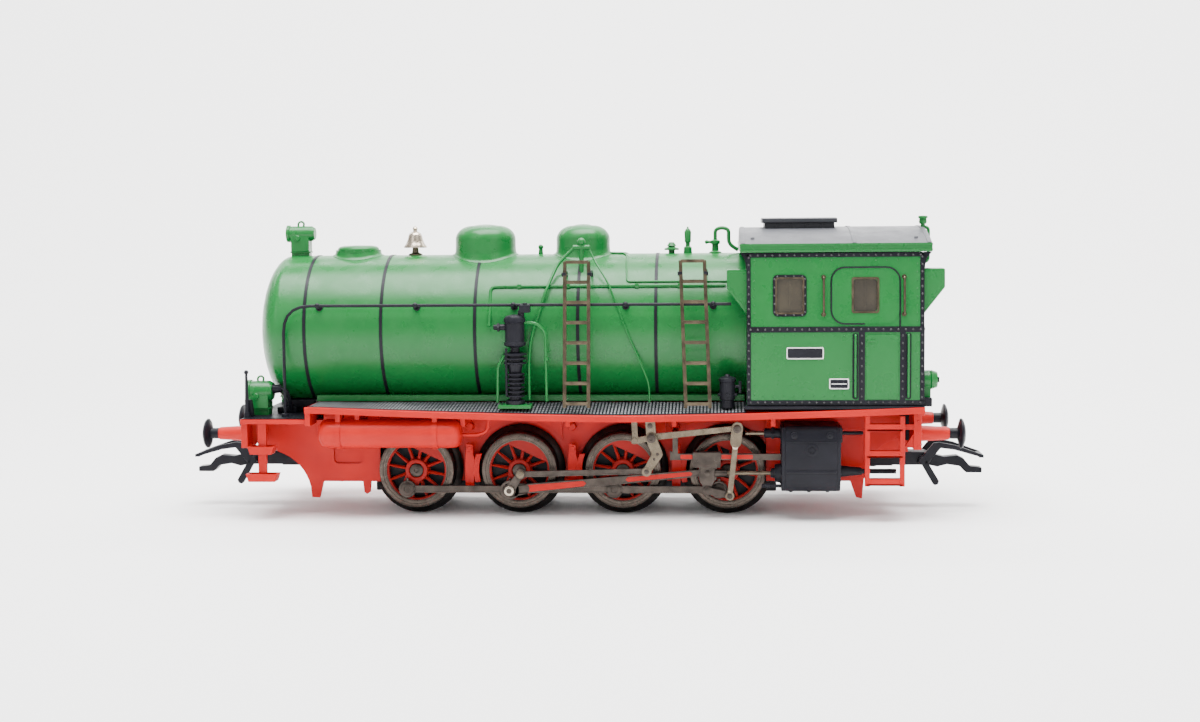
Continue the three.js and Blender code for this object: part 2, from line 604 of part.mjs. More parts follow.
const BUFFER_PROFILE = [[0, 56.15], [0.85, 56.15], [0.85, 57.35], [2.28, 57.65], [2.28, 58], [1.5, 58.5], [0, 58.6]];
for (const [end, sx] of [["front", -1], ["rear", 1]]) {
  for (const side of ["left", "right"]) {
    const profile = BUFFER_PROFILE.map(([r, x]) => [r, sx * x]);
    piece(`buffer_${end}_${side}`, turnedX(profile, SIDES[side] * BUFFER_Y, BUFFER_Z, 16), BLACK);
  }
}

// ---------- couplers ----------
const LOOP_PIVOT = [-53, 7.5];
function couplerHead() {
  const shank = box(-54, -43.5, -1.9, 1.9, 6.6, 8.9);
  const hook = plateY(
    [
      [-53.8, 6.7], [-55.5, 6.3], [-57, 6.7], [-59, 6.4], [-60, 5.4], [-62.4, 5.4], [-62.4, 6.3],
      [-60.6, 6.4], [-59.6, 7.7], [-58.6, 8.2], [-56.5, 8], [-53.8, 8.8],
    ],
    -1,
    1,
  );
  const pivotHole = barZ(0.6 + RUNNING_GAP, 5, 10, -COUPLER_PIVOT_X, 0);
  const loopHole = barY(0.45 + RUNNING_GAP, -3, 3, ...LOOP_PIVOT, 10);
  return cut(join(shank, hook), pivotHole, loopHole);
}
function couplerLoop() {
  const arm = [
    [-52.4, 7.1], [-53.7, 6.9], [-55.8, 9.5], [-62.5, 7.9], [-62.5, 8.5], [-55.4, 10.5], [-54.6, 10.3],
  ];
  const tail = [[-52.6, 7.4], [-53.6, 7.7], [-55.7, 4.1], [-54.9, 3.6]];
  const arms = [-1, 1].map((s) => plateY(arm, s * 2.1, s * 2.8));
  const tip = box(-62.5, -61.6, -2.5, 2.5, 8, 8.45);
  const pin = barY(0.45, -2.5, 2.5, ...LOOP_PIVOT, 10);
  return join(...arms, tip, pin, plateY(tail, -2.8, -2.1));
}
for (const [end, turn] of [["front", 0], ["rear", Math.PI]]) {
  piece(`coupler_head_${end}`, couplerHead(), BLACK).rotation.z = turn;
  piece(`coupler_loop_${end}`, couplerLoop(), BLACK).rotation.z = turn;
}

// ---------- storage tank and its fittings ----------
function tankShell() {
  const inner = TANK_R - TANK_WALL;
  const shell = turnedX(
    [
      [0, -50.7], [4, -50.35], [7.6, -49.45], [10.2, -48.1], [11.4, -46.9], [TANK_R, TANK_FRONT_X],
      [TANK_R, TANK_REAR_X], [inner, TANK_REAR_X], [inner, -46], [9, -47.4], [5, -49], [0, -49.5],
    ],
    0,
    TANK_Z,
    SHELL_SIDES,
  );
  const skirtSection = [[7, 17], [7.7, 17], [8.2, 20], [7, 19.6]];
  const skirts = [-1, 1].map((s) =>
    sectionX(skirtSection.map(([y, z]) => [s * y, z]), -41, TANK_REAR_X - 0.2));
  const manhole = turnedZ([[0, 39.2], [3.35, 39.2], [3.35, 40.9], [2.6, 41.4], [0, 41.6]], -35.75, 0, 16);
  const belly = box(-41.5, 30, -6.3, 6.3, 10, 20.3);
  const flat = box(-41.5, 30, -12, 12, 10, TANK_FLAT_Z);
  return cut(join(shell, ...skirts, manhole), belly, flat);
}
piece("tank_shell", tankShell(), GREEN);

const seatOnTank = (solid) => cut(solid, barX(TANK_R + 0.06, -60, 40, 0, TANK_Z, SHELL_SIDES));
const dome = (r, x, shoulder, top) =>
  seatOnTank(
    turnedZ(
      [[0, 36], [r, 36], [r, shoulder], [r * 0.93, shoulder + 0.6], [r * 0.6, top - 0.2], [0, top]],
      x,
      0,
      24,
    ),
  );
piece("front_dome", dome(4.75, -15.35, 43.1, 44.75), GREEN);
piece("rear_dome", dome(4.2, 0.13, 43.1, 44.67), GREEN);
const bell = turnedZ(
  [[0, 38], [0.8, 38], [0.6, 40.6], [0.5, 41.1], [1.85, 41.1], [1.4, 42], [1.1, 43.4], [0.4, 44.1], [0, 44.6]],
  -26.6,
  0,
  16,
);
piece("bell", seatOnTank(bell), BRIGHT);

function topLamp() {
  const barrel = barX(1.3, -47.2, -42.6, 0, 43.8, 14);
  const pedestal = box(-46.3, -42.9, -0.9, 0.9, 38, 43.2);
  const handle = box(-45.3, -44.4, -0.3, 0.3, 44.6, 45.7);
  return seatOnTank(join(barrel, pedestal, handle));
}
piece("top_lamp", topLamp(), GREEN);

function frontLamp(side) {
  const y = SIDES[side] * 9.5;
  const barrel = barX(1.75, -51.5, -47.6, y, 19.3, 16);
  const body = box(-50.9, -47.9, y - 1.55, y + 1.55, 16.6, 19.3);
  const foot = box(-50.7, -48.1, y - 1.3, y + 1.3, 15.75, 16.8);
  return join(barrel, body, foot, box(-50, -49, y - 0.2, y + 0.2, 20.8, 21.7));
}
piece("front_lamp_left", frontLamp("left"), GREEN);
piece("front_lamp_right", frontLamp("right"), GREEN);

// ---------- cab ----------
function cabBody() {
  const section = (inset) => [
    [-CAB_HALF + inset, CAB_Z[0]], [CAB_HALF - inset, CAB_Z[0]], [CAB_HALF - inset, CAB_WAIST_Z],
    [CAB_TOP_HALF - inset, CAB_Z[1]], [-CAB_TOP_HALF + inset, CAB_Z[1]], [-CAB_HALF + inset, CAB_WAIST_Z],
  ];
  const shell = sectionX(section(0), ...CAB_X);
  const room = sectionX(section(CAB_WALL), CAB_X[0] + CAB_WALL, CAB_X[1] - CAB_WALL);
  const doors = [box(26.5, 50.8, -14.2, 14.2, 17, 18.5), box(26.5, 50.8, -13.4, 13.4, 39, 41)];
  const windows = [box(29.5, 34.4, -20, 20, 30.85, 36.94), box(41.04, 45.13, -20, 20, 31.25, 36.6)];
  const ends = [-1, 1].map((s) => box(50, 53, s * 4.2, s * 9.4, 31, 37));
  const hoods = [];
  for (const s of [-1, 1]) {
    for (const [wall, reach] of [[CAB_X[0] + 0.1, -3.1], [CAB_X[1] - 0.1, 3.2]]) {
      const outline = [
        [wall, 30.7], [wall + reach, 34.9], [wall + reach, 37.9], [wall, 37.9],
      ];
      hoods.push(plateY(outline, s * 10.9, s * 14.2));
    }
  }
  const tank = barX(TANK_R + 0.15, 20, CAB_X[0] - 0.1, 0, TANK_Z, SHELL_SIDES);
  return cut(join(shell, ...hoods), room, tank, ...doors, ...windows, ...ends);
}
piece("cab_body", cabBody(), GREEN);

function cabRoof() {
  const arch = [];
  for (let i = 0; i <= 12; i += 1) {
    const y = 14.6 - (i * 29.2) / 12;
    arch.push([y, 41.7 + 2.3 * (1 - (y / 14.6) ** 2)]);
  }
  const shell = sectionX([[-14.6, 40.3], [14.6, 40.3], ...arch], 24.6, 52.9);
  const room = box(26, 51.2, -13, 13, 40, 41.2);
  const ventSection = [[-4.4, 43.4], [4.4, 43.4], [4.4, 44.6], [4.9, 44.8], [4.9, 45.4], [-4.9, 45.4], [-4.9, 44.8], [-4.4, 44.6]];
  return cut(join(shell, sectionX(ventSection, 28.1, 39.6)), room);
}
piece("cab_roof", cabRoof(), ROOF_GREY);

function cabGlazing() {
  const panes = [-1, 1].map((s) => box(28.6, 46.1, s * 12.9, s * 13.2, 30, 37.9));
  const rail = box(36.2, 38.4, -13, 13, 37.3, 37.9);
  return join(...panes, rail);
}
piece("cab_glazing", cabGlazing(), GLAZING);

// ---------- fittings on the left deck ----------
function airPump() {
  const [x, y] = [-9.3, -13.6];
  const profile = [[0, 17.3], [1.5, 17.3], [1.5, 18.6]];
  for (let z = 19; z < 25.6; z += 1.4) profile.push([1.25, z], [1.7, z + 0.45], [1.25, z + 0.9]);
  profile.push([1.7, 26.2], [1.7, 30.6], [1.4, 31], [0, 31]);
  const valveBox = box(-8.4, -6.9, y - 0.7, y + 0.7, 31.1, 33);
  const neck = box(-8.6, -8, y - 0.4, y + 0.4, 30.5, 32);
  const port = barX(0.5, -12.5, -10.6, y, 29.3, 8);
  return join(turnedZ(profile, x, y, 10), valveBox, neck, port, box(-11.9, -6.7, y - 1.6, y + 1.3, 17.05, 17.7));
}
piece("air_pump", airPump(), BLACK);

function airTank() {
  const [y, z] = [-13.85, 13.2];
  const profile = [[0, -39.4], [1.6, -39.3], [2.3, -38.6], [2.3, -18.3], [1.6, -17.6], [0, -17.5]];
  const straps = [-36.3, -21.5].flatMap((x) => [
    barX(2.42, x - 0.4, x + 0.4, y, z),
    box(x - 0.4, x + 0.4, y - 0.9, y - 0.4, z, 16),
  ]);
  return join(turnedX(profile, y, z, 12), ...straps);
}
piece("air_tank", airTank(), RED);

const LADDER_Z = [17.15, 39.2];
const LADDER_Y = [-15.3, -12.4];
const RUNGS = 8;
function ladder(xLow, xHigh) {
  const half = 2.05;
  const along = (t) => [
    xLow + (xHigh - xLow) * t,
    LADDER_Y[0] + (LADDER_Y[1] - LADDER_Y[0]) * t,
    LADDER_Z[0] + (LADDER_Z[1] - LADDER_Z[0]) * t,
  ];
  const lean = Math.atan2(LADDER_Y[1] - LADDER_Y[0], LADDER_Z[1] - LADDER_Z[0]);
  const tip = Math.atan2(xHigh - xLow, LADDER_Z[1] - LADDER_Z[0]);
  const length = Math.hypot(xHigh - xLow, LADDER_Y[1] - LADDER_Y[0], LADDER_Z[1] - LADDER_Z[0]);
  const place = (geometry) => {
    const [x, y, z] = along(0.5);
    return toSolid(geometry.rotateX(-lean).rotateY(tip).translate(x, y, z));
  };
  const parts = [-1, 1].map((s) =>
    place(new THREE.BoxGeometry(0.55, 0.4, length).translate(s * (half - 0.27), 0, 0)));
  for (let i = 0; i < RUNGS; i += 1) {
    const offset = length * ((i + 0.35) / (RUNGS - 0.3) - 0.5);
    parts.push(place(new THREE.BoxGeometry(half * 2 - 0.3, 0.34, 0.42).translate(0, 0, offset)));
  }
  const [x, y] = along(0.9);
  for (const s of [-1, 1]) {
    parts.push(box(x + s * (half - 0.1) - 0.25, x + s * (half - 0.1) + 0.25, y, -8.15, 36.7, 37.3));
  }
  return join(...parts);
}
piece("ladder_front", ladder(0.1, 0.1), NICKEL);
piece("ladder_rear", ladder(18.3, 17.6), NICKEL);

function handrail() {
  const [y, z] = [-12.55, 32.6];
  const rail = tube(
    [[-45, y, 16], [-45, y, 22], [-45, y, 28.6], [-44.5, y, 31], [-42.9, y, 32.4], [-40.8, y, z], [-20, y, z], [0, y, z], [23.3, y, z]],
    0.3,
    5,
    17,
  );
  const posts = [-39.7, -24.6, -9.6, 7.4, 20.6].map((x) => barY(0.4, y, -11.05, x, z, 5));
  return join(rail, ...posts);
}
piece("handrail", handrail(), BLACK);

export default group;
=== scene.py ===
# H0 (1:87) model of a fireless steam locomotive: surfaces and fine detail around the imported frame.
# Lengths here are millimetres and MM turns them into metres. +X is the cab end, -Y the left side.
import json
import math

import bmesh
import bpy
from mathutils import Matrix, Vector
from mathutils.geometry import tessellate_polygon


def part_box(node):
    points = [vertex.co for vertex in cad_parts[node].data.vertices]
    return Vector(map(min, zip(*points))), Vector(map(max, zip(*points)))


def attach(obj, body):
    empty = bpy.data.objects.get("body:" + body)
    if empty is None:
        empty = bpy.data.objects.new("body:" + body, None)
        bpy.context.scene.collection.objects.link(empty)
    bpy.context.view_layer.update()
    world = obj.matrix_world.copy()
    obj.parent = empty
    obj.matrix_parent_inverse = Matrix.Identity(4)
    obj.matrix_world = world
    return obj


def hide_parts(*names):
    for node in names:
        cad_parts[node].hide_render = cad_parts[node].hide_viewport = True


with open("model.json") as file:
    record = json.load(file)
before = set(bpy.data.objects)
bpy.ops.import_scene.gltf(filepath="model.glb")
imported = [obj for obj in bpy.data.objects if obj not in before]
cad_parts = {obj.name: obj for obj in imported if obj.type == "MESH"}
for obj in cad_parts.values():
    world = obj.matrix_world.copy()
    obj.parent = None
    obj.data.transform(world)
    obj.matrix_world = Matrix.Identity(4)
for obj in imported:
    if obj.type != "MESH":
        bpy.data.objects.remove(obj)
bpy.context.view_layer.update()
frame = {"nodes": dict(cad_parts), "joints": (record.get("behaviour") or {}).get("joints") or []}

MM = 0.001
SHARP = math.radians(38)
SIDES = {"left": -1, "right": 1}
JOINTS = {joint["name"]: joint for joint in frame["joints"]}


def low(node):
    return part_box(node)[0] / MM


def high(node):
    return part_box(node)[1] / MM


def pivot(name):
    return Vector(JOINTS[name]["pos_m"]) / MM


# ---------- driving dimensions, read off the frame ----------
AXLES = [pivot(f"{name}_spin") for name in ("wheels_1", "drive_wheels", "wheels_3", "wheels_4")]
AXLE_Z = AXLES[0].z
TANK_R = 11.7
TANK_Z = high("tank_shell").z - 13.3
TANK_X = (low("tank_shell").x, high("tank_shell").x)
BOARD_X = (low("running_board").x, high("running_board").x)
BOARD_HALF = high("running_board").y
BOARD_TOP = high("running_board").z
BOARD_FLAT_HALF = 7.6
BOARD_SAG = 1.35
BOARD_LOW_X = 7
CAB_X = (25.6, 51.7)
CAB_Z = (BOARD_TOP + 0.1, 40.2)
CAB_HALF = 15.2
CAB_WAIST_Z = 28.9
CAB_LEAN = 0.8
DECK_TOP = high("front_beam").z


# ---------- closed solids, as bmeshes ----------
def block(x0, x1, y0, y1, z0, z1):
    solid = bmesh.new()
    bmesh.ops.create_cube(solid, size=1)
    middle = Matrix.Translation(((x0 + x1) / 2, (y0 + y1) / 2, (z0 + z1) / 2))
    solid.transform(middle @ Matrix.Diagonal((x1 - x0, abs(y1 - y0), z1 - z0, 1)))
    return solid


def prism(outline, a0, a1, axis="Y", holes=()):
    """An outline given thickness along an axis; its pairs are the other two axes, in order."""
    solid = bmesh.new()
    turn = {"X": lambda p, a: (a, *p), "Y": lambda p, a: (p[0], a, p[1]), "Z": lambda p, a: (*p, a)}
    loops = [outline, *holes]
    ends = [[[solid.verts.new(turn[axis](p, a)) for p in loop] for loop in loops] for a in (a0, a1)]
    for near, far in zip(*ends):
        for i, corner in enumerate(near):
            j = (i + 1) % len(near)
            solid.faces.new((corner, near[j], far[j], far[i]))
    if holes:
        flat = tessellate_polygon([[Vector((*p, 0)) for p in loop] for loop in loops])
        for end in ends:
            corners = [v for loop in end for v in loop]
            for triangle in flat:
                solid.faces.new([corners[i] for i in triangle])
    else:
        for end in ends:
            solid.faces.new(end[0])
    bmesh.ops.recalc_face_normals(solid, faces=solid.faces)
    return solid


def lathe(profile, centre=(0, 0, 0), axis="Z", sides=32):
    """A profile of (radius, distance) turned round an axis; it ends on the axis or closes on itself."""
    turn = {
        "X": lambda r, h, t: (h, r * math.cos(t), r * math.sin(t)),
        "Y": lambda r, h, t: (r * math.cos(t), h, r * math.sin(t)),
        "Z": lambda r, h, t: (r * math.cos(t), r * math.sin(t), h),
    }
    solid = bmesh.new()
    closed = profile[0] == profile[-1] and profile[0][0] > 0
    rows = []
    for r, h in profile[:-1] if closed else profile:
        steps = 1 if r < 1e-6 else sides
        rows.append([solid.verts.new(turn[axis](r, h, i * math.tau / sides)) for i in range(steps)])
    pairs = list(zip(rows, rows[1:])) + ([(rows[-1], rows[0])] if closed else [])
    for one, two in pairs:
        for i in range(sides):
            j = (i + 1) % sides
            ring = [one[i % len(one)], one[j % len(one)], two[j % len(two)], two[i % len(two)]]
            corners = list(dict.fromkeys(ring))
            if len(corners) > 2:
                solid.faces.new(corners)
    bmesh.ops.recalc_face_normals(solid, faces=solid.faces)
    solid.transform(Matrix.Translation(centre))
    return solid


def rod(start, end, r, r_end=None, sides=14, chamfer=0.0):
    """A round bar from one point to another, tapered if r_end is given."""
    start, end = Vector(start), Vector(end)
    length = (end - start).length
    r_end = r if r_end is None else r_end
    profile = [(0, 0), (r - chamfer, 0), (r, chamfer), (r_end, length - chamfer),
               (r_end - chamfer, length), (0, length)]
    solid = lathe([p for i, p in enumerate(profile) if i == 0 or p != profile[i - 1]], sides=sides)
    facing = (end - start).to_track_quat("Z", "Y").to_matrix().to_4x4()
    solid.transform(Matrix.Translation(start) @ facing)
    return solid


def rounded_path(points, radius, steps=5):
    """The points joined by straight stretches, with a round bend of about the radius at each corner."""
    points = [Vector(p) for p in points]
    path = [points[0]]
    for before, corner, after in zip(points, points[1:], points[2:]):
        reach = min(radius, (corner - before).length * 0.48, (after - corner).length * 0.48)
        a = corner + (before - corner).normalized() * reach
        b = corner + (after - corner).normalized() * reach
        for i in range(steps + 1):
            t = i / steps
            path.append(a.lerp(corner, t).lerp(corner.lerp(b, t), t))
    return path + [points[-1]]


def pipe(points, r, bend=1.0, sides=10):
    path = rounded_path(points, bend)
    solid = bmesh.new()
    rings = []
    side = (path[1] - path[0]).orthogonal().normalized()
    for i, point in enumerate(path):
        along = (path[min(i + 1, len(path) - 1)] - path[max(i - 1, 0)]).normalized()
        side = (side - along * side.dot(along)).normalized()
        across = along.cross(side)
        turn = [i * math.tau / sides for i in range(sides)]
        rings.append([solid.verts.new(point + (side * math.cos(t) + across * math.sin(t)) * r)
                      for t in turn])
    for one, two in zip(rings, rings[1:]):
        for i in range(sides):
            j = (i + 1) % sides
            solid.faces.new((one[i], one[j], two[j], two[i]))
    solid.faces.new(rings[0])
    solid.faces.new(rings[-1])
    bmesh.ops.recalc_face_normals(solid, faces=solid.faces)
    return solid


def ball(centre, r, sides=14):
    steps = 8
    turns = [i * math.pi / steps for i in range(1, steps)]
    half = [(r * math.sin(t), -r * math.cos(t)) for t in turns]
    return lathe([(0, -r), *half, (0, r)], centre, sides=sides)


def rivet(place, facing, r=0.16):
    """A low round head standing on a surface that faces the given way."""
    place = Vector(place)
    dome = lathe([(0, -0.05), (r, -0.05), (r, 0.04), (r * 0.65, r * 0.6), (0, r * 0.75)], sides=8)
    dome.transform(Matrix.Translation(place) @ Vector(facing).to_track_quat("Z", "Y").to_matrix().to_4x4())
    return dome


def turned(s, profile, at, sides):
    """A profile of (radius, distance out from the middle) turned round a pin at (x, z), on side s."""
    return lathe([(r, s * y) for r, y in profile], (at[0], 0, at[1]), "Y", sides)


def eye(s, at, r, hole, y0, y1, sides):
    """A rod's round end, with its hole and a broken outer edge."""
    return turned(s, [(hole, y0), (r, y0), (r, y1 - 0.05), (r - 0.06, y1), (hole, y1), (hole, y0)], at,
                  sides)


def screw(s, at, r, y):
    """A low round head standing on a face y out from the middle."""
    return turned(s, [(0, y - 0.1), (r, y - 0.1), (r, y + 0.06), (r * 0.8, y + 0.1), (0, y + 0.1)], at,
                  24)


# ---------- outlines ----------
def arc(centre, r, start, end, steps):
    """Points on a circle from one angle to another, in degrees."""
    turn = [math.radians(start + (end - start) * i / steps) for i in range(steps + 1)]
    return [(centre[0] + r * math.cos(t), centre[1] + r * math.sin(t)) for t in turn]


def rounded(x0, x1, z0, z1, r, steps=4):
    """A rectangle with round corners."""
    corners = [(x1 - r, z0 + r, -90), (x1 - r, z1 - r, 0), (x0 + r, z1 - r, 90), (x0 + r, z0 + r, 180)]
    return [p for x, z, a in corners for p in arc((x, z), r, a, a + 90, steps)]


def eye_bar(a, b, half_a, half_b, steps=6):
    """A flat bar with round ends, between two points."""
    turn = math.degrees(math.atan2(b[1] - a[1], b[0] - a[0]))
    return arc(b, half_b, turn - 90, turn + 90, steps) + arc(a, half_a, turn + 90, turn + 270, steps)


def between(a, b, t):
    return (a[0] + (b[0] - a[0]) * t, a[1] + (b[1] - a[1]) * t)


# ---------- pieces ----------
class Shape:
    """Closed solids gathered into one mesh."""

    def __init__(self):
        self.mesh = bmesh.new()

    def add(self, solid, bevel=0.0, warp=None):
        if bevel:
            edges = [e for e in solid.edges if e.is_manifold and e.calc_face_angle(0) > SHARP]
            bmesh.ops.bevel(solid, geom=edges, offset=bevel, segments=2, profile=0.5,
                            affect="EDGES", clamp_overlap=True)
        if warp:
            for v in solid.verts:
                v.co = warp(v.co)
        carrier = bpy.data.meshes.new("carrier")
        solid.to_mesh(carrier)
        solid.free()
        self.mesh.from_mesh(carrier)
        bpy.data.meshes.remove(carrier)
        return self

    def piece(self, name, material, slot, body="root", replaces=()):
        self.mesh.transform(Matrix.Scale(MM, 4))
        for face in self.mesh.faces:
            face.smooth = True
        for edge in self.mesh.edges:
            edge.smooth = edge.calc_face_angle(0) < SHARP
        mesh = bpy.data.meshes.new(name)
        self.mesh.to_mesh(mesh)
        self.mesh.free()
        mesh.materials.append(material)
        made = bpy.data.objects.new(name, mesh)
        bpy.context.scene.collection.objects.link(made)
        made.modifiers.new("weighted", "WEIGHTED_NORMAL").keep_sharp = True
        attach(made, body)
        if replaces:
            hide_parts(*replaces)
        return made


# ---------- materials ----------
class Nodes:
    """A Principled material under construction, with its coordinates in metres on the piece."""

    def __init__(self, name):
        self.material = bpy.data.materials.new(name)
        self.material.use_nodes = True
        self.tree = self.material.node_tree
        self.shader = self.tree.nodes["Principled BSDF"]
        self.coordinates = self.tree.nodes.new("ShaderNodeTexCoord").outputs["Object"]

    def link(self, output, target):
        self.tree.links.new(output, target)

    def noise(self, scale, detail=3.0, stretch=None):
        source = self.coordinates
        if stretch:
            mapping = self.tree.nodes.new("ShaderNodeMapping")
            mapping.inputs["Scale"].default_value = stretch
            self.link(source, mapping.inputs["Vector"])
            source = mapping.outputs["Vector"]
        made = self.tree.nodes.new("ShaderNodeTexNoise")
        made.inputs["Scale"].default_value = scale
        made.inputs["Detail"].default_value = detail
        self.link(source, made.inputs["Vector"])
        return made.outputs["Fac"]

    def ramp(self, source, low_value, high_value, low_at=0.35, high_at=0.65):
        made = self.tree.nodes.new("ShaderNodeMapRange")
        made.inputs["From Min"].default_value = low_at
        made.inputs["From Max"].default_value = high_at
        made.inputs["To Min"].default_value = low_value
        made.inputs["To Max"].default_value = high_value
        self.link(source, made.inputs["Value"])
        return made.outputs["Result"]

    def blend(self, factor, one, two):
        made = self.tree.nodes.new("ShaderNodeMix")
        made.data_type = "RGBA"
        self.link(factor, made.inputs["Factor"])
        for socket, value in ((made.inputs[6], one), (made.inputs[7], two)):
            if isinstance(value, tuple):
                socket.default_value = (*value, 1)
            else:
                self.link(value, socket)
        return made.outputs[2]

    def bump(self, height, distance, strength=1.0):
        made = self.tree.nodes.new("ShaderNodeBump")
        made.inputs["Distance"].default_value = distance * MM
        made.inputs["Strength"].default_value = strength
        self.link(height, made.inputs["Height"])
        self.link(made.outputs["Normal"], self.shader.inputs["Normal"])


def paint(name, colour, shade, roughness, grain=0.004, dust=(0.55, 0.5, 0.45), gloss=0.28):
    """Sprayed colour on moulded plastic: a fine orange peel, cloudy tone and a little dust on top faces."""
    made = Nodes(name)
    cloud = made.ramp(made.noise(160, 4), 0, 1)
    colours = made.blend(cloud, colour, shade)
    up = made.tree.nodes.new("ShaderNodeSeparateXYZ")
    normal = made.tree.nodes.new("ShaderNodeNewGeometry").outputs["Normal"]
    made.link(normal, up.inputs["Vector"])
    speck = made.ramp(made.noise(2600, 2), 0, 0.16, 0.62, 0.8)
    lie = made.tree.nodes.new("ShaderNodeMath")
    lie.operation = "MULTIPLY"
    lie.use_clamp = True
    made.link(up.outputs["Z"], lie.inputs[0])
    made.link(speck, lie.inputs[1])
    made.link(made.blend(lie.outputs[0], colours, dust), made.shader.inputs["Base Color"])
    made.link(made.ramp(made.noise(420, 3), roughness - 0.05, roughness + 0.07),
              made.shader.inputs["Roughness"])
    made.bump(made.noise(3200, 3), grain)
    made.shader.inputs["Specular IOR Level"].default_value = gloss
    return made.material


def steel(name, colour, shade, roughness, stretch=(1, 1, 1), metallic=0.9, scratch=0.006):
    """Blackened or plated metal with fine rolling marks and cloudy tarnish."""
    made = Nodes(name)
    tarnish = made.ramp(made.noise(700, 5), 0, 1, 0.3, 0.7)
    made.link(made.blend(tarnish, colour, shade), made.shader.inputs["Base Color"])
    marks = made.noise(2400, 4, stretch)
    made.link(made.ramp(marks, roughness - 0.1, roughness + 0.12), made.shader.inputs["Roughness"])
    made.bump(marks, scratch)
    made.shader.inputs["Metallic"].default_value = metallic
    return made.material


GREEN = paint("green enamel", (0.007, 0.122, 0.024), (0.006, 0.114, 0.022), 0.3, dust=(0.13, 0.22, 0.14))
RED = paint("red enamel", (0.44, 0.009, 0.006), (0.36, 0.007, 0.005), 0.38, dust=(0.6, 0.12, 0.09),
            gloss=0.16)
WHEEL_RED = paint("red wheel enamel", (0.27, 0.010, 0.008), (0.20, 0.008, 0.006), 0.42,
                  dust=(0.3, 0.1, 0.08), gloss=0.14)
BLACK = paint("black plastic", (0.006, 0.006, 0.009), (0.010, 0.010, 0.014), 0.4, grain=0.006,
              dust=(0.09, 0.09, 0.095), gloss=0.13)
ROOF = paint("grey roof", (0.070, 0.072, 0.080), (0.058, 0.060, 0.068), 0.42, grain=0.008)
VENT = paint("dark grey roof trim", (0.028, 0.029, 0.034), (0.022, 0.023, 0.028), 0.45)
# The dull grey on the strip rivets is a painted highlight that stands for the small glints on their heads.
RIVET_GLINT = paint("rivet painted glint", (0.040, 0.040, 0.042), (0.022, 0.022, 0.024), 0.35)
# The pale grey on the tread ribs is a painted highlight that stands for the glints on the black ribbed
# plate.
TREAD_GLINT = paint("tread rib painted glint", (0.11, 0.11, 0.12), (0.20, 0.20, 0.21), 0.4, grain=0.01)
TYRE = steel("nickelled tyre", (0.085, 0.068, 0.056), (0.050, 0.040, 0.033), 0.34, (1, 12, 1))
BLACKENED = steel("blackened tread", (0.030, 0.027, 0.025), (0.018, 0.016, 0.015), 0.4, (1, 12, 1))
ROD = steel("rod steel", (0.075, 0.061, 0.052), (0.034, 0.028, 0.024), 0.4, (1, 8, 6))
NICKEL = steel("etched nickel silver", (0.165, 0.132, 0.094), (0.085, 0.068, 0.048), 0.34, (6, 1, 1))
BRONZED = steel("browned ladder brass", (0.050, 0.038, 0.026), (0.120, 0.092, 0.060), 0.38, (1, 1, 6))
BRIGHT = steel("turned bright metal", (0.50, 0.43, 0.34), (0.36, 0.30, 0.23), 0.24, (1, 1, 9),
               scratch=0.003)
BRASS = steel("turned brass", (0.60, 0.43, 0.17), (0.48, 0.34, 0.13), 0.3, (1, 9, 1))
CAN = steel("motor can", (0.52, 0.52, 0.54), (0.42, 0.42, 0.44), 0.34, (9, 1, 1))


def glazing():
    """Smoked clear plastic, slightly uneven, over the dim cab."""
    made = Nodes("smoked glazing")
    tint = made.ramp(made.noise(300, 2), 0, 1)
    made.link(made.blend(tint, (0.045, 0.037, 0.024), (0.032, 0.026, 0.018)),
              made.shader.inputs["Base Color"])
    made.bump(made.noise(500, 2), 0.004)
    made.shader.inputs["Roughness"].default_value = 0.12
    made.shader.inputs["Coat Weight"].default_value = 0.6
    made.shader.inputs["Coat Roughness"].default_value = 0.08
    return made.material


GLASS = glazing()
WHITE = paint("pale plate edge", (0.75, 0.75, 0.72), (0.66, 0.66, 0.64), 0.4)
CREAM = paint("cab inside", (0.12, 0.095, 0.06), (0.09, 0.07, 0.045), 0.6)
LENS = paint("frosted lens", (0.78, 0.80, 0.82), (0.7, 0.72, 0.75), 0.15)


# ---------- storage tank ----------
def tank_surface(y, r=TANK_R):
    return TANK_Z + math.sqrt(max(0.0, r * r - y * y))


def band(x, width, r, material_shape):
    """A strap over the tank, from board level on one side to the other."""
    foot = math.degrees(math.asin((TANK_Z - BOARD_TOP - 0.3) / r))
    outline = arc((0, TANK_Z), r, -foot, 180 + foot, 64) + arc((0, TANK_Z), TANK_R - 0.2, 180 + foot,
                                                               -foot, 64)
    material_shape.add(prism(outline, x - width / 2, x + width / 2, "X"))


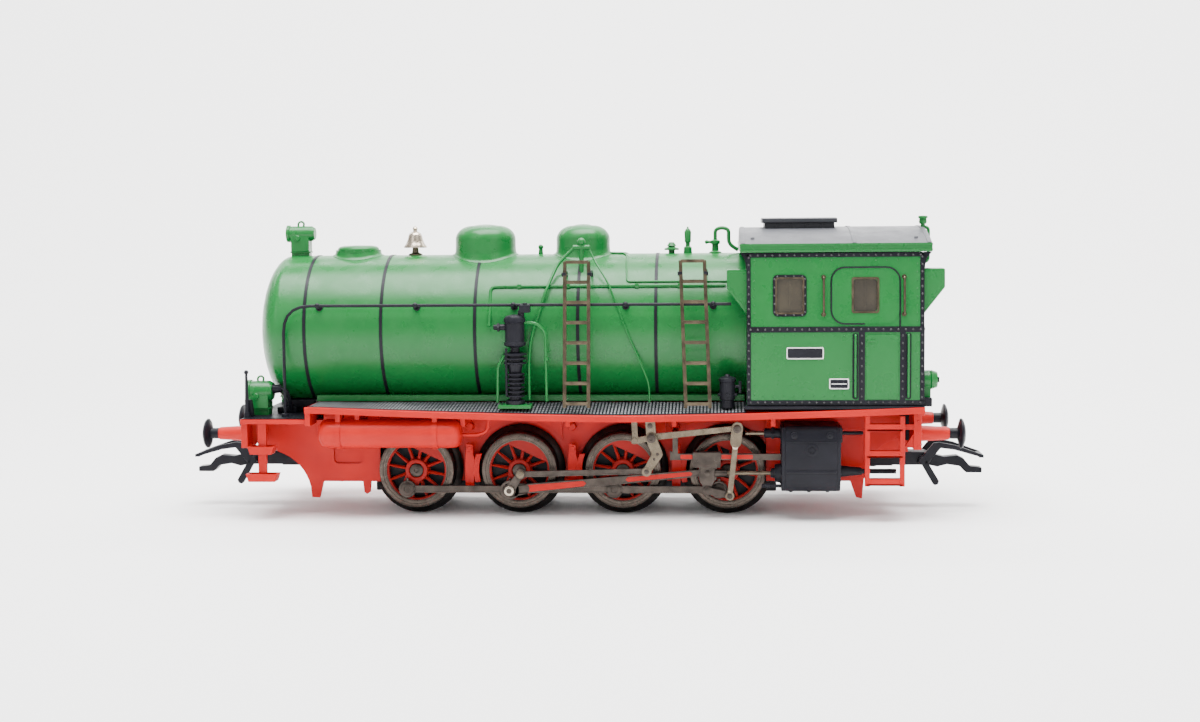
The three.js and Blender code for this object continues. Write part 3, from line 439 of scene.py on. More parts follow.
def tank():
    rear = CAB_X[0] - 0.02
    knuckle = TANK_X[0] + 4.5
    dish = [(TANK_R * math.sin(t), knuckle - 4.5 * math.cos(t))
            for t in (math.radians(7.5 * i) for i in range(1, 13))]
    drum = lathe([(0, TANK_X[0]), *dish, (TANK_R, rear), (0, rear)], (0, 0, TANK_Z), "X", 96)
    keep = BOARD_TOP + 0.12
    geometry = drum.verts[:] + drum.edges[:] + drum.faces[:]
    bmesh.ops.bisect_plane(drum, geom=geometry, plane_co=(0, 0, keep), plane_no=(0, 0, -1),
                           clear_outer=True)
    bmesh.ops.holes_fill(drum, edges=[e for e in drum.edges if e.is_boundary])
    body = Shape().add(drum)
    for s in (-1, 1):
        skirt = [(s * 6.6, BOARD_TOP + 0.05), (s * 8.5, BOARD_TOP + 0.05), (s * 8.5, 18.5),
                 (s * 6.6, 18.5)]
        body.add(prism(skirt, -41, rear - 0.2, "X"), 0.1)
    body.piece("tank_drum", GREEN, "green_paint", replaces=("tank_shell",))

    cover = Shape()
    x, z = -35.75, high("tank_shell").z
    cover.add(saddle(x, 3.55, 0.9))
    cover.add(lathe([(0, z - 2.4), (3.3, z - 2.4), (3.3, z - 0.75), (3.2, z - 0.42), (2.9, z - 0.2),
                     (2.2, z - 0.06), (0, z)],
                    (x, 0, 0), sides=48))
    cover.add(lathe([(3.2, z - 1.2), (3.5, z - 1.2), (3.5, z - 0.9), (3.2, z - 0.9), (3.2, z - 1.2)],
                    (x, 0, 0), sides=48))
    for i in range(16):
        turn = i * math.tau / 16
        cover.add(rivet((x + 3.35 * math.cos(turn), 3.35 * math.sin(turn), z - 0.9), (0, 0, 1), 0.14))
    cover.piece("manhole_cover", GREEN, "green_paint")

    straps = Shape()
    for x in (-42.05, -30.15, -15.67, 0.08, 11.92):
        band(x, 0.5, TANK_R + 0.08, straps)
    straps.piece("tank_bands", BLACK, "black_plastic")


def saddle(x, r, rise, flare=0.55, sides=64):
    """A short collar that hugs the tank's curve under something round."""
    solid = bmesh.new()
    rings = []
    for radius, lift in ((0, -1.2), (r + flare, -0.5), (r + flare, 0.04), (r + flare * 0.45, 0.16),
                         (r + flare * 0.12, 0.42), (r, rise), (0, rise - 0.3)):
        steps = sides if radius else 1
        ring = []
        for i in range(steps):
            turn = i * math.tau / sides
            y = radius * math.sin(turn)
            ring.append(solid.verts.new((x + radius * math.cos(turn), y, tank_surface(y) + lift)))
        rings.append(ring)
    for one, two in zip(rings, rings[1:]):
        for i in range(sides):
            j = (i + 1) % sides
            corners = list(dict.fromkeys([one[i % len(one)], one[j % len(one)], two[j % len(two)],
                                          two[i % len(two)]]))
            solid.faces.new(corners)
    bmesh.ops.recalc_face_normals(solid, faces=solid.faces)
    return solid


def dome(node, r):
    x = (low(node).x + high(node).x) / 2
    top = high(node).z
    shoulder, corner = top - 2.35, 2.7
    cap = [(r - corner + corner * math.cos(t), shoulder + 2.15 * math.sin(t))
           for t in (math.radians(10 * i) for i in range(1, 10))]
    cap.append((r * 0.2, top - 0.05))
    made = Shape()
    made.add(saddle(x, r, 1.2, 0.5))
    made.add(lathe([(0, 37), (r, 37), (r, shoulder), *cap, (0, top)], (x, 0, 0), sides=72))
    made.piece(node + "_turned", GREEN, "green_paint", replaces=(node,))


def bell():
    x = -26.6
    top = high("bell").z
    stand = Shape()
    stand.add(lathe([(0, 39.2), (1.1, 39.2), (1.1, 40.15), (0.55, 40.4), (0.42, 41.4), (0, 41.4)],
                    (x, 0, 0), sides=24))
    stand.piece("bell_stand", NICKEL, "etched_nickel")
    made = Shape()
    profile = [(0, 41.2), (1.5, 41.15), (1.85, 41.15), (1.82, 41.35), (1.5, 41.75), (1.22, 42.4),
               (1.08, 43.0),
               (0.95, 43.35), (0.6, 43.6), (0.35, 43.7), (0.3, 43.95), (0.42, 44.15), (0.3, 44.4),
               (0, top)]
    made.add(lathe(profile, (x, 0, 0), sides=48))
    made.piece("bell_turned", BRIGHT, "bell_metal", replaces=("bell",))


def lamp(name, node, x0, x1, y, z, r, foot_z, lens_side):
    """A cylindrical lamp on a pedestal, with a rim, a back cap, a handle and a frosted lens."""
    made = Shape()
    rim = 0.25
    lens_x, back_x = (x0, x1) if lens_side < 0 else (x1, x0)
    s = lens_side
    barrel = [(0, back_x), (r - 0.45, back_x), (r - rim * 0.6, back_x + s * 0.5),
              (r - rim * 0.6, lens_x - s * 0.6),
              (r, lens_x - s * 0.5), (r, lens_x - s * 0.05), (r - 0.12, lens_x),
              (r - 0.35, lens_x - s * 0.15),
              (r - 0.4, lens_x - s * 0.5), (0, lens_x - s * 0.5)]
    made.add(lathe(barrel, (0, y, z), "X", 40))
    width = r * 0.86
    middle = (x0 + x1) / 2
    body = [(y - width, z), (y - width, foot_z + 1.1), (y - width * 0.75, foot_z + 0.8),
            (y - width * 0.75, foot_z),
            (y + width * 0.75, foot_z), (y + width * 0.75, foot_z + 0.8), (y + width, foot_z + 1.1),
            (y + width, z)]
    made.add(prism(body, middle - 1.45, middle + 1.45, "X"), 0.08)
    made.add(block(middle - 1.6, middle + 1.6, y - width * 0.9, y + width * 0.9, foot_z + 0.85,
                   foot_z + 1.1), 0.05)
    hoop = [(middle - 0.45, y, z + r - 0.2), (middle - 0.45, y, z + r + 0.35),
            (middle + 0.1, y, z + r + 0.62),
            (middle + 0.5, y, z + r + 0.3), (middle + 0.4, y, z + r - 0.2)]
    made.add(pipe(hoop, 0.16, 0.3))
    made.add(rod((middle - 0.4, y - width, z - 0.7), (middle - 0.4, y - width - 0.25, z - 0.7), 0.5, 0.42,
                 20, 0.05))
    made.piece(name, GREEN, "green_paint", replaces=(node,) if node else ())
    glass = Shape().add(lathe([(0, lens_x - s * 0.52), (r - 0.4, lens_x - s * 0.52),
                               (r - 0.45, lens_x - s * 0.3),
                               (r * 0.5, lens_x - s * 0.12), (0, lens_x - s * 0.05)], (0, y, z), "X", 32))
    glass.piece(name + "_lens", LENS, "glazing")


def tank_fittings():
    made = Shape()
    top = TANK_Z + TANK_R
    made.add(rod((-6.6, 0, top - 0.3), (-6.6, 0, top + 1.0), 0.42, 0.3,
                 chamfer=0.05)).add(ball((-6.6, 0, top + 1.1), 0.42))
    x = 14.06
    made.add(rod((x, 0, top - 0.3), (x, 0, top + 0.7), 0.5)).add(lathe([(0, top + 0.5), (1.15, top + 0.5),
                                                                        (1.15, top + 0.75),
                                                                        (0.5, top + 1.0),
                                                                        (0.75, top + 1.15),
                                                                        (0.4, top + 1.7),
                                                                        (0, top + 1.75)], (x, 0, 0),
                                                                       sides=20))
    x = 16.6
    made.add(lathe([(0, top - 0.3), (0.7, top - 0.3), (0.62, top + 0.9), (0.35, top + 1.1),
                    (0.35, top + 1.6), (0.5, top + 1.75),
                    (0.55, top + 3.3), (0.35, top + 3.7), (0.15, top + 3.9), (0.15, top + 4.1),
                    (0, top + 4.15)], (x, 0, 0), sides=20))
    x = 20.9
    made.add(lathe([(0, top - 0.3), (1.0, top - 0.3), (1.0, top + 0.1), (0.55, top + 0.35),
                    (0.5, top + 1.3), (0.75, top + 1.45),
                    (0.75, top + 1.9), (0.35, top + 2.1), (0, top + 2.15)], (x, 0, 0), sides=20))
    made.add(pipe([(x, 0, top + 1.9), (x, 0, top + 3.6), (x + 0.9, 0, top + 3.95),
                   (x + 2.1, 0, top + 3.7), (x + 2.1, 0, top + 1.4), (x + 3.6, 0, top + 0.4)], 0.3, 0.8,
                  12))
    made.add(rod((x - 1.3, 0, top + 1.7), (x, 0, top + 1.7), 0.22))
    made.add(ball((x - 1.35, 0, top + 1.7), 0.32))
    for s in (-1, 1):
        y = s * 7.2
        made.add(rod((0.4, y, tank_surface(y) - 0.3), (0.4, y, 41.9), 0.34, 0.4, chamfer=0.06))
        made.add(rod((-0.9, y, 41.1), (1.7, y, 41.1), 0.42, chamfer=0.05)).add(ball((0.4, y, 42.0), 0.62))
        wall = s * 11.2
        steep = [(-0.6, y, 41.2), (-3.2, s * 7.9, 38.6), (-4.8, s * 10.9, 34.6), (-7.0, s * 12.4, 27.5),
                 (-7.3, s * 12.6, 24.1), (-7.3, s * 12.6, 18.2)]
        made.add(pipe(steep, 0.24, 1.2))
        thin = [(1.5, y, 41.0), (2.4, s * 7.8, 39.2), (4.7, s * 10.4, 35.8), (7.5, s * 11.95, 28.6),
                (10.9, wall * 1.02, 20.5), (10.9, wall, 17.6)]
        made.add(pipe(thin, 0.15, 1.4))
        along = [(-13.35, s * 12.2, 29.4), (-13.35, s * 9.6, 35.2), (-11.8, s * 9.55, 35.3),
                 (22.5, s * 9.55, 35.3)]
        made.add(pipe(along, 0.26, 0.9))
        drop = [(4.4, 0.8), (6.6, 1.2), (7.2, 2.6), (7.3, 5.4), (7.4, 7.6), (7.5, 9.0), (23.2, 9.0)]
        made.add(pipe([(x, s * dy, tank_surface(dy) + 0.12) for x, dy in drop], 0.17, 0.5))
        for x in (-9.0, -1.5, 9.0, 15.5):
            made.add(block(x - 0.3, x + 0.3, s * 8.9, s * 9.85, 35.0, 35.62), 0.05)
    made.piece("tank_pipes", GREEN, "green_paint")


def handrails():
    for side, s in SIDES.items():
        y = s * 12.55
        rail = Shape()
        rail.add(pipe([(-45, y, DECK_TOP), (-45, y, 32.6), (23.3, y, 32.6)], 0.24, 4.2, 12))
        for x in (-39.7, -24.6, -9.6, 7.4, 20.6):
            rail.add(rod((x, y, 32.6), (x, s * 10.75, 32.2), 0.26, 0.34, 12))
            rail.add(ball((x, y, 32.6), 0.44))
            rail.add(rod((x, s * 11.25, 32.3), (x, s * 10.8, 32.2), 0.55, chamfer=0.05))
        rail.add(lathe([(0, DECK_TOP), (0.55, DECK_TOP), (0.5, DECK_TOP + 0.35), (0.25, DECK_TOP + 0.5),
                        (0, DECK_TOP + 0.5)], (-45, y, 0), sides=16))
        rail.piece(f"handrail_{side}", BLACK, "black_plastic", replaces=("handrail",) if side == "left"
                   else ())


# ---------- running board, decks and frame ----------
def board_drop(x, y):
    """How far the running board hangs below its flat middle."""
    reach = (abs(y) - BOARD_FLAT_HALF) / (BOARD_HALF - BOARD_FLAT_HALF)
    along = abs(x - BOARD_LOW_X) / (BOARD_X[1] - BOARD_LOW_X + 2.2)
    return BOARD_SAG * max(0.0, reach) * max(0.0, 1 - along ** 1.5)


def hang(co):
    return Vector((co.x, co.y, co.z - board_drop(co.x, co.y)))


def strip(section, x0, x1, steps=24):
    """A section in (y, z) drawn out along X in steps, so that it can follow the board's hang."""
    solid = bmesh.new()
    rows = []
    for i in range(steps + 1):
        x = x0 + (x1 - x0) * i / steps
        rows.append([solid.verts.new((x, y, z)) for y, z in section])
    for one, two in zip(rows, rows[1:]):
        for i in range(len(section)):
            j = (i + 1) % len(section)
            solid.faces.new((one[i], one[j], two[j], two[i]))
    solid.faces.new(rows[0])
    solid.faces.new(rows[-1])
    bmesh.ops.recalc_face_normals(solid, faces=solid.faces)
    return solid


def running_board():
    half, lip = BOARD_HALF, BOARD_HALF - 0.7
    top, under, lowest = BOARD_TOP, BOARD_TOP - 0.6, BOARD_TOP - 1.0
    section = [(-half, lowest), (-lip, lowest), (-lip, under), (-BOARD_FLAT_HALF, under),
               (BOARD_FLAT_HALF, under),
               (lip, under), (lip, lowest), (half, lowest), (half, top - 0.12), (half - 0.1, top - 0.05),
               (half - 0.4, top - 0.05), (half - 0.45, top - 0.18), (BOARD_FLAT_HALF, top - 0.18),
               (-BOARD_FLAT_HALF, top - 0.18),
               (-half + 0.45, top - 0.18), (-half + 0.4, top - 0.05), (-half + 0.1, top - 0.05),
               (-half, top - 0.12)]
    made = Shape().add(strip(section, *BOARD_X, 48), warp=hang)
    for s in (-1, 1):
        made.add(block(BOARD_X[0], BOARD_X[0] + 0.8, s * 11.5, s * 15.9, DECK_TOP - 1.1, BOARD_TOP - 0.5),
                 0.06)
    made.piece("board_red", RED, "red_paint", replaces=("running_board",))

    # The ribs are coloured pale grey over the black base plate, as painted glints on the rib tops.
    plate, glint_ribs = Shape(), Shape()
    pitch, cell = 0.52, 1.15
    for s in (-1, 1):
        inner, outer = 8.4, half - 0.45
        base = [(s * inner, top - 0.3), (s * outer, top - 0.3), (s * outer, top - 0.04),
                (s * inner, top - 0.04)]
        plate.add(strip(base, -40.8, CAB_X[0] - 0.1, 40), warp=hang)
        x = -40.6
        while x < CAB_X[0] - 0.5:
            for i in range(6):
                y = inner + 0.15 + i * cell
                glint_ribs.add(block(x, x + pitch * 0.5, s * y, s * (y + cell * 0.72), top - 0.1, top),
                         warp=hang)
            x += pitch
    plate.piece("board_plate", BLACK, "black_plastic")
    glint_ribs.piece("board_tread_painted_glint", TREAD_GLINT, "black_plastic")


def step(made, x, half, y, z0, z1):
    """An open-topped tread tray that narrows downwards."""
    s = 1 if y > 0 else -1
    for inner, outer in ((y - s * 1.1, y - s * 0.85), (y + s * 0.85, y + s * 1.1)):
        outline = [(x - half + 0.4, z0), (x + half - 0.4, z0), (x + half, z1), (x - half, z1)]
        made.add(prism(outline, inner, outer), 0.04)
    made.add(block(x - half + 0.45, x + half - 0.45, y - 1.0, y + 1.0, z0, z0 + 0.3), 0.04)
    for sx in (-1, 1):
        end = [(x + sx * (half - 0.4), z0), (x + sx * (half - 0.7), z0), (x + sx * (half - 0.3), z1),
               (x + sx * half, z1)]
        made.add(prism(end, y - 1.0, y + 1.0), 0.04)


def buffer_parts(end, sx):
    base = 51.2
    housings = Shape()
    for side, s in SIDES.items():
        y, z = s * 10.05, 12.75
        profile = [(0, sx * base), (1.45, sx * base), (1.45, sx * (base + 0.25)),
                   (1.22, sx * (base + 0.4)), (0.98, sx * 55.9), (0.9, sx * 56.1), (0, sx * 56.1)]
        housings.add(lathe(profile, (0, y, z), "X", 40))
        for dy in (-1, 1):
            for dz in (-1, 1):
                housings.add(rivet((sx * base + sx * 0.12, y + dy * 1.3, z + dz * 1.3), (sx, 0, 0), 0.18))
        node = f"buffer_{end}_{side}"
        head = [(0, sx * 56.15), (0.84, sx * 56.15), (0.84, sx * 57.3), (1.3, sx * 57.45),
                (2.15, sx * 57.7), (2.28, sx * 57.8), (2.28, sx * 57.95),
                (2.1, sx * 58.15), (1.3, sx * 58.45), (0, sx * 58.6)]
        Shape().add(lathe(head, (0, y, z), "X", 48)).piece(node + "_head", BLACK, "black_plastic",
                                                           replaces=(node,))
    return housings


def front_end():
    deck = Shape()
    deck.add(block(-51.3, -41.3, -15.5, 15.5, DECK_TOP - 0.85, DECK_TOP - 0.16), 0.07)
    deck.add(block(-51.3, -50.3, -15.1, 15.1, 11.1, DECK_TOP - 0.2), 0.08)
    for s in (-1, 1):
        for z in (11.7, 13.9):
            for y in (2.5, 6.2, 13.4):
                deck.add(rivet((-51.3, s * y, z), (-1, 0, 0), 0.17))
        y = s * 14.9
        deck.add(block(-48.7, -47.4, y - 0.3, y + 0.3, 6.6, DECK_TOP - 0.5), 0.06)
        step(deck, -48.1, 2.05, y, 10.2, 11.4)
        step(deck, -48.05, 2.45, y, 6.0, 7.2)
        gusset = [(-50.4, DECK_TOP - 0.7), (-50.4, 11.4), (-49.6, 11.4), (-49.0, 13.4),
                  (-49.0, DECK_TOP - 0.7)]
        deck.add(prism(gusset, s * 12.4, s * 12.8), 0.04)
    deck.piece("front_deck_red", RED, "red_paint", replaces=("front_beam",))
    buffer_parts("front", -1).piece("front_buffer_sleeves", RED, "red_paint")

    top = Shape()
    top.add(block(-51.15, -41.35, -15.3, 15.3, DECK_TOP - 0.2, DECK_TOP - 0.04), 0.03)
    x = -50.9
    while x < -41.8:
        top.add(block(x, x + 0.26, -15.1, 15.1, DECK_TOP - 0.08, DECK_TOP))
        x += 0.52
    top.add(block(-46.9, -42.0, -5.6, 5.6, DECK_TOP - 0.1, DECK_TOP + 1.9), 0.2)
    top.add(block(-47.6, -44.5, -7.5, 7.5, DECK_TOP - 0.1, DECK_TOP + 0.9), 0.2)
    for s in (-1, 1):
        top.add(prism([(-51.2, DECK_TOP), (-49.9, DECK_TOP), (-50.2, DECK_TOP + 2.6),
                       (-51.2, DECK_TOP + 2.6)], s * 12.0, s * 13.0), 0.08)
        top.add(rod((-50.7, s * 13.5, DECK_TOP - 0.1), (-50.7, s * 13.5, 22.4), 0.36,
                    0.2)).add(ball((-50.7, s * 13.5, 22.55), 0.36))
        top.add(rod((-50.7, s * 13.5, DECK_TOP), (-50.7, s * 13.5, DECK_TOP + 0.8), 0.55, 0.4))
        top.add(rod((-47.7, s * 9.5, 19.6), (-46.3, s * 9.5, 19.6), 0.75, 0.6, 20, 0.1))
        top.add(pipe([(-46.5, s * 9.5, 19.6), (-45.6, s * 9.4, 19.4), (-45.2, s * 8.6, 17.5),
                      (-45.2, s * 8.0, DECK_TOP + 0.5)], 0.32, 0.8))
    top.piece("front_deck_black", BLACK, "black_plastic")


def rear_end():
    beam = Shape()
    beam.add(block(50.25, 51.45, -15.1, 15.1, 10.9, 16.3), 0.09)
    beam.add(block(50.9, 51.85, -15.3, 15.3, 16.0, BOARD_TOP - 0.3), 0.07)
    for s in (-1, 1):
        for z in (11.6, 13.3, 15.2):
            beam.add(rivet((51.45, s * 14.4, z), (1, 0, 0), 0.18)).add(rivet((51.45, s * 4, z), (1, 0, 0),
                                                                             0.18))
            beam.add(rivet((50.9, s * 15.1, z), (0, s, 0), 0.16))
        for x in (43.4, 48.55):
            beam.add(block(x - 0.37, x + 0.37, s * 15.25, s * 15.85, 5.5, BOARD_TOP - 1.5), 0.07)
        for z in (5.6, 9.8, 13.8):
            beam.add(block(43.3, 48.6, s * 14.4, s * 15.9, z, z + 0.3), 0.05)
            beam.add(block(43.3, 48.6, s * 15.6, s * 15.9, z, z + 1.0), 0.05)
            beam.add(block(43.3, 48.6, s * 14.4, s * 14.65, z, z + 1.0), 0.05)
            for x in (43.75, 48.2):
                beam.add(rivet((x, s * 15.9, z + 0.55), (0, s, 0), 0.14))
        beam.add(block(48.3, 51, s * 14.5, s * 15.0, 13.9, 14.7), 0.06)
        beam.add(prism([(50.3, 11.2), (48.9, 11.2), (50.3, 13.4)], s * 14.4, s * 14.9), 0.04)
    beam.piece("rear_beam_red", RED, "red_paint", replaces=("rear_beam",))
    buffer_parts("rear", 1).piece("rear_buffer_sleeves", RED, "red_paint")
    fittings = Shape()
    for s in (-1, 1):
        fittings.add(block(51.5, 53.0, s * 13.4, s * 14.6, 17.3, 18.6), 0.12)
        fittings.add(block(48.95, 50.3, s * 8.5, s * 8.75, 11.5, 16.2))
    fittings.piece("rear_brackets", BLACK, "black_plastic")


KEEL_Z = 2.9


def chassis():
    red = Shape()
    nose_curve = arc((-49.5, 2.6), 7.4, 87, 12, 10)
    nose = [(-49.9, 14.6), (-49.9, 10.6), (-47.8, 10.0)] + [(x, z) for x, z in nose_curve
                                                            if x > -47.6] + [
        (-42.1, 2.5), (-40.9, 2.4), (-40.2, 5.0), (-34.0, 5.0), (-33.8, 3.3), (-33.4, 3.0), (-32.9, 3.3),
                                                                             (-32.7, 5.0),
        (-31.2, 5.0), (-31.2, 16.6), (-40.0, 16.6), (-40.0, 14.6)]
    panel = rounded(-38.5, -33.9, 7.8, 11.2, 0.7)
    tail = [(28.6, 16.6), (28.6, 5.2), (41.4, 5.2), (42.3, 2.7), (43.2, 2.5),
            (43.5, 5.6)] + arc((50.2, 5.4), 6.6, 178, 105, 8) + [
        (50.2, 11.6), (50.2, 16.6)]
    for s in (-1, 1):
        red.add(prism(nose, s * 7.9, s * 8.5, holes=(panel,)), 0.0)
        red.add(prism([(-39, 7.5), (-33.4, 7.5), (-33.4, 11.5), (-39, 11.5)], s * 7.7, s * 8.15))
        red.add(prism(tail, s * 7.9, s * 8.5), 0.06)
        plate = [(-33, 4.9), (30.2, 4.9), (30.2, 16.7), (-33, 16.7)]
        red.add(prism(plate, s * 6.0, s * 6.6), 0.0)
        for i, axle in enumerate(AXLES):
            red.add(prism(arc((axle.x, AXLE_Z), 7.9, 35, 145, 14) + [(axle.x - 6.5, 16.6),
                                                                     (axle.x + 6.5, 16.6)], s * 6.6,
                          s * 7.0))
            if i:
                hanger(red, axle.x, s)
        for x in (-33.5, -17.3, -1.3, 14.7, 29.5):
            red.add(block(x - 0.35, x + 0.35, s * 6.5, s * 14.5, 14.3, 16.2), 0.05)
            red.add(rod((x, s * 6.5, 13.4), (x, s * 7.3, 13.4), 0.7, 0.6, 16, 0.08))
    red.add(block(-50, -33, -7.9, 7.9, 11.4, 14.5), 0.05)
    red.add(block(28.7, 50.2, -7.9, 7.9, 9.6, 16.5), 0.05)
    red.add(block(-33, -31.4, -7.9, 7.9, 5.0, 16.5))
    red.piece("frame_red", RED, "red_paint", replaces=("chassis_frame",))

    core = Shape()
    core.add(block(-32.9, 30.1, -6.0, 6.0, 4.7, 16.75), 0.05)
    core.add(block(-32.8, 30.3, -4, 4, KEEL_Z, 4.9), 0.15)
    for x in (-29, -18.5, -2, 14, 27.5):
        core.add(rivet((x, 0, 2.95), (0, 0, -1), 0.7))
    for sx in (-1, 1):
        core.add(lathe([(0, 6.3), (0.6, 6.3), (0.6, 10.6), (0, 10.6)], (sx * 45.5, 0, 0), sides=20))
    core.piece("gearbox_black", BLACK, "black_plastic")


def hanger(made, axle_x, s):
    """Brake hanger and shoe in front of a wheel."""
    x = axle_x - 8.5
    strap = [(x, 4.4), (x + 1.3, 4.4), (x + 1.45, 8.8), (x + 1.25, 9.2), (x + 1.2, 10.8), (x + 0.2, 11.0),
             (x - 0.05, 8.0)]
    made.add(prism(strap, s * 8.3, s * 9.1), 0.08)
    shoe = arc((axle_x, AXLE_Z), 6.35, 157, 197, 6) + arc((axle_x, AXLE_Z), 7.2, 196, 160, 6)
    made.add(prism(shoe, s * 8.2, s * 9.2), 0.06)
    made.add(rod((x + 0.7, s * 8.2, 10.2), (x + 0.7, s * 9.25, 10.2), 0.4, chamfer=0.05))
    made.add(rod((x + 0.7, 0, 4.7), (x + 0.7, s * 9.2, 4.7), 0.3, chamfer=0.04))


def air_tanks():
    for side, s in SIDES.items():
        y, z = s * 13.85, 13.2
        made = Shape()
        made.add(lathe([(0, -39.4), (1.3, -39.35), (1.9, -39.0), (2.15, -38.4), (2.2, -37.9),
                        (2.2, -19.0), (2.15, -18.4),
                        (1.9, -17.9), (1.3, -17.6), (0, -17.5)],
                       (0, y, z), "X", 48))
        for x in (-36.3, -21.5):
            made.add(lathe([(2.18, x - 0.42), (2.34, x - 0.42), (2.34, x + 0.42), (2.18, x + 0.42),
                            (2.18, x - 0.42)], (0, y, z), "X", 40))
            made.add(block(x - 0.45, x + 0.45, y - s * 1.1, y - s * 0.6, z, BOARD_TOP - 0.8), 0.05)
            made.add(block(x - 0.45, x + 0.45, y - 0.35, y + 0.35, z + 2.1, BOARD_TOP - 0.8), 0.05)
            made.add(block(x - 0.4, x + 0.4, s * 14.4, s * 15.25, 14.8, BOARD_TOP - 0.9), 0.08)
        made.add(pipe([(-17.7, y, 13.0), (-15.0, y, 13.0), (-13.6, y, 13.6), (-13.4, y, 15.4)], 0.26,
                      1.1))
        made.piece(f"air_tank_{side}", RED, "red_paint", replaces=("air_tank",) if side == "left" else ())


# ---------- wheels and running gear ----------
WHEEL_BACK = 7.05
WHEEL_FACE = 9.95
RIM_R = 4.66
HUB_R = 1.75
SPOKES = 12
SMALL_EYE_R = 0.8
LINK_EYE_R = 0.75
CRANK_EYE_R = 0.82
LEVER_EYE_R = 0.72
UNION_LINK_REACH = 3.3
PISTON_Y = 12.05
VALVE_Y = 12.5
VALVE_Z = 13.1


def crank_angle(side):
    pin = pivot(f"coupling_rod_{side}_crank")
    return math.degrees(math.atan2(pin.z - AXLE_Z, pin.x - AXLES[1].x))


def crank_pin(side, axle):
    pin = pivot(f"coupling_rod_{side}_crank")
    return (pin.x + AXLES[axle].x - AXLES[1].x, pin.z)


def polar(centre, degrees, r):
    turn = math.radians(degrees)
    return (centre[0] + r * math.cos(turn), centre[1] + r * math.sin(turn))


def wheel(side, axle):
    s = SIDES[side]
    number = axle + 1
    hub = (AXLES[axle].x, AXLE_Z)
    body = f"wheelset_{number}"
    tread = [(RIM_R, WHEEL_BACK), (6.5, WHEEL_BACK), (6.86, 7.12), (6.94, 7.28), (6.84, 7.44),
             (6.3, 7.68), (6.02, 7.9),
             (5.83, 9.7), (5.6, 9.72), (RIM_R, 9.5), (RIM_R, WHEEL_BACK)]
    made = Shape().add(turned(s, tread, hub, 80))
    made.piece(f"wheel_{number}_{side}_tread", BLACKENED, "wheel_steel", body,
               replaces=(f"wheel_{number}_{side}",))
    rim = [(RIM_R, 9.3), (RIM_R, 9.9), (RIM_R + 0.06, WHEEL_FACE - 0.02), (4.84, WHEEL_FACE - 0.02),
           (4.9, 9.86), (5.2, 9.86),
           (5.25, WHEEL_FACE), (5.6, WHEEL_FACE), (5.76, 9.88), (5.82, 9.7), (5.6, 9.3), (RIM_R, 9.3)]
    made = Shape().add(turned(s, rim, hub, 80))
    made.piece(f"wheel_{number}_{side}_rim", TYRE, "wheel_steel", body)

    red = Shape()
    ring = [(RIM_R + 0.02, 8.6), (RIM_R + 0.02, 9.72), (4.5, 9.72), (4.36, 9.6), (4.36, 8.6),
            (RIM_R + 0.02, 8.6)]
    red.add(turned(s, ring, hub, 64))
    facing = crank_angle(side)
    for i in range(SPOKES):
        turn = facing + 180 + (i + 0.5) * 360 / SPOKES
        inner, outer = polar(hub, turn, HUB_R - 0.2), polar(hub, turn, RIM_R - 0.12)
        along = Vector((outer[0] - inner[0], 0, outer[1] - inner[1]))
        spoke = lathe([(0, 0), (0.3, 0), (0.2, along.length), (0, along.length)], sides=12)
        spoke.transform(Matrix.Diagonal((1, 1.9, 1, 1)))
        upright = Matrix.Rotation(math.radians(90 - turn), 4, "Y")
        spoke.transform(Matrix.Translation((inner[0], s * 9.1, inner[1])) @ upright)
        red.add(spoke)
    chord = 2.95
    spread = math.degrees(math.acos(chord / RIM_R))
    weight = arc(hub, RIM_R, facing + 180 - spread, facing + 180 + spread, 20)
    red.add(prism(weight, s * 8.5, s * 9.78), 0.07)
    hub_profile = [(0.98, 7.1), (1.9, 7.1), (1.9, 8.6), (HUB_R, 9.7), (1.68, 9.98), (1.45, 10.05),
                   (1.2, 10.02), (1.1, 9.9), (0.98, 9.9), (0.98, 7.1)]
    red.add(turned(s, hub_profile, hub, 48))
    pin = crank_pin(side, axle)
    red.add(prism(eye_bar(hub, pin, 1.35, 1.12, 10), s * 8.3, s * 9.9), 0.1)
    red.piece(f"wheel_{number}_{side}_centre", WHEEL_RED, "red_paint", body)

    metal = Shape()
    metal.add(turned(s, [(0, 9.0), (1.02, 9.0), (1.02, 9.98), (0.9, 10.08), (0.35, 10.1), (0.25, 10.0),
                         (0, 10.0)], hub, 36))
    metal.add(turned(s, [(0, 9.5), (1.0, 9.5), (1.0, 10.05), (0.5, 10.12), (0.5, 10.86), (0, 10.86)], pin,
                     32))
    if axle != 1:
        head = [(0, 10.84), (1.02, 10.84), (1.05, 10.9), (1.05, 10.98), (0.95, 11.05), (0.5, 11.05),
                (0.44, 10.98), (0, 10.98)]
        metal.add(turned(s, head, pin, 6 if side == "right" else 28))
    else:
        metal.add(turned(s, [(0, 10.8), (0.5, 10.8), (0.5, 11.75), (0, 11.75)], pin, 28))
    metal.piece(f"wheel_{number}_{side}_pins", ROD, "rod_steel", body)

    # A thin black disc sits behind the spokes, so the gaps between them show dark.
    back = Shape().add(turned(s, [(1.2, 7.4), (4.7, 7.4), (4.7, 7.9), (1.2, 7.9), (1.2, 7.4)], hub, 48))
    back.piece(f"wheel_{number}_{side}_back", BLACK, "black_plastic", body)


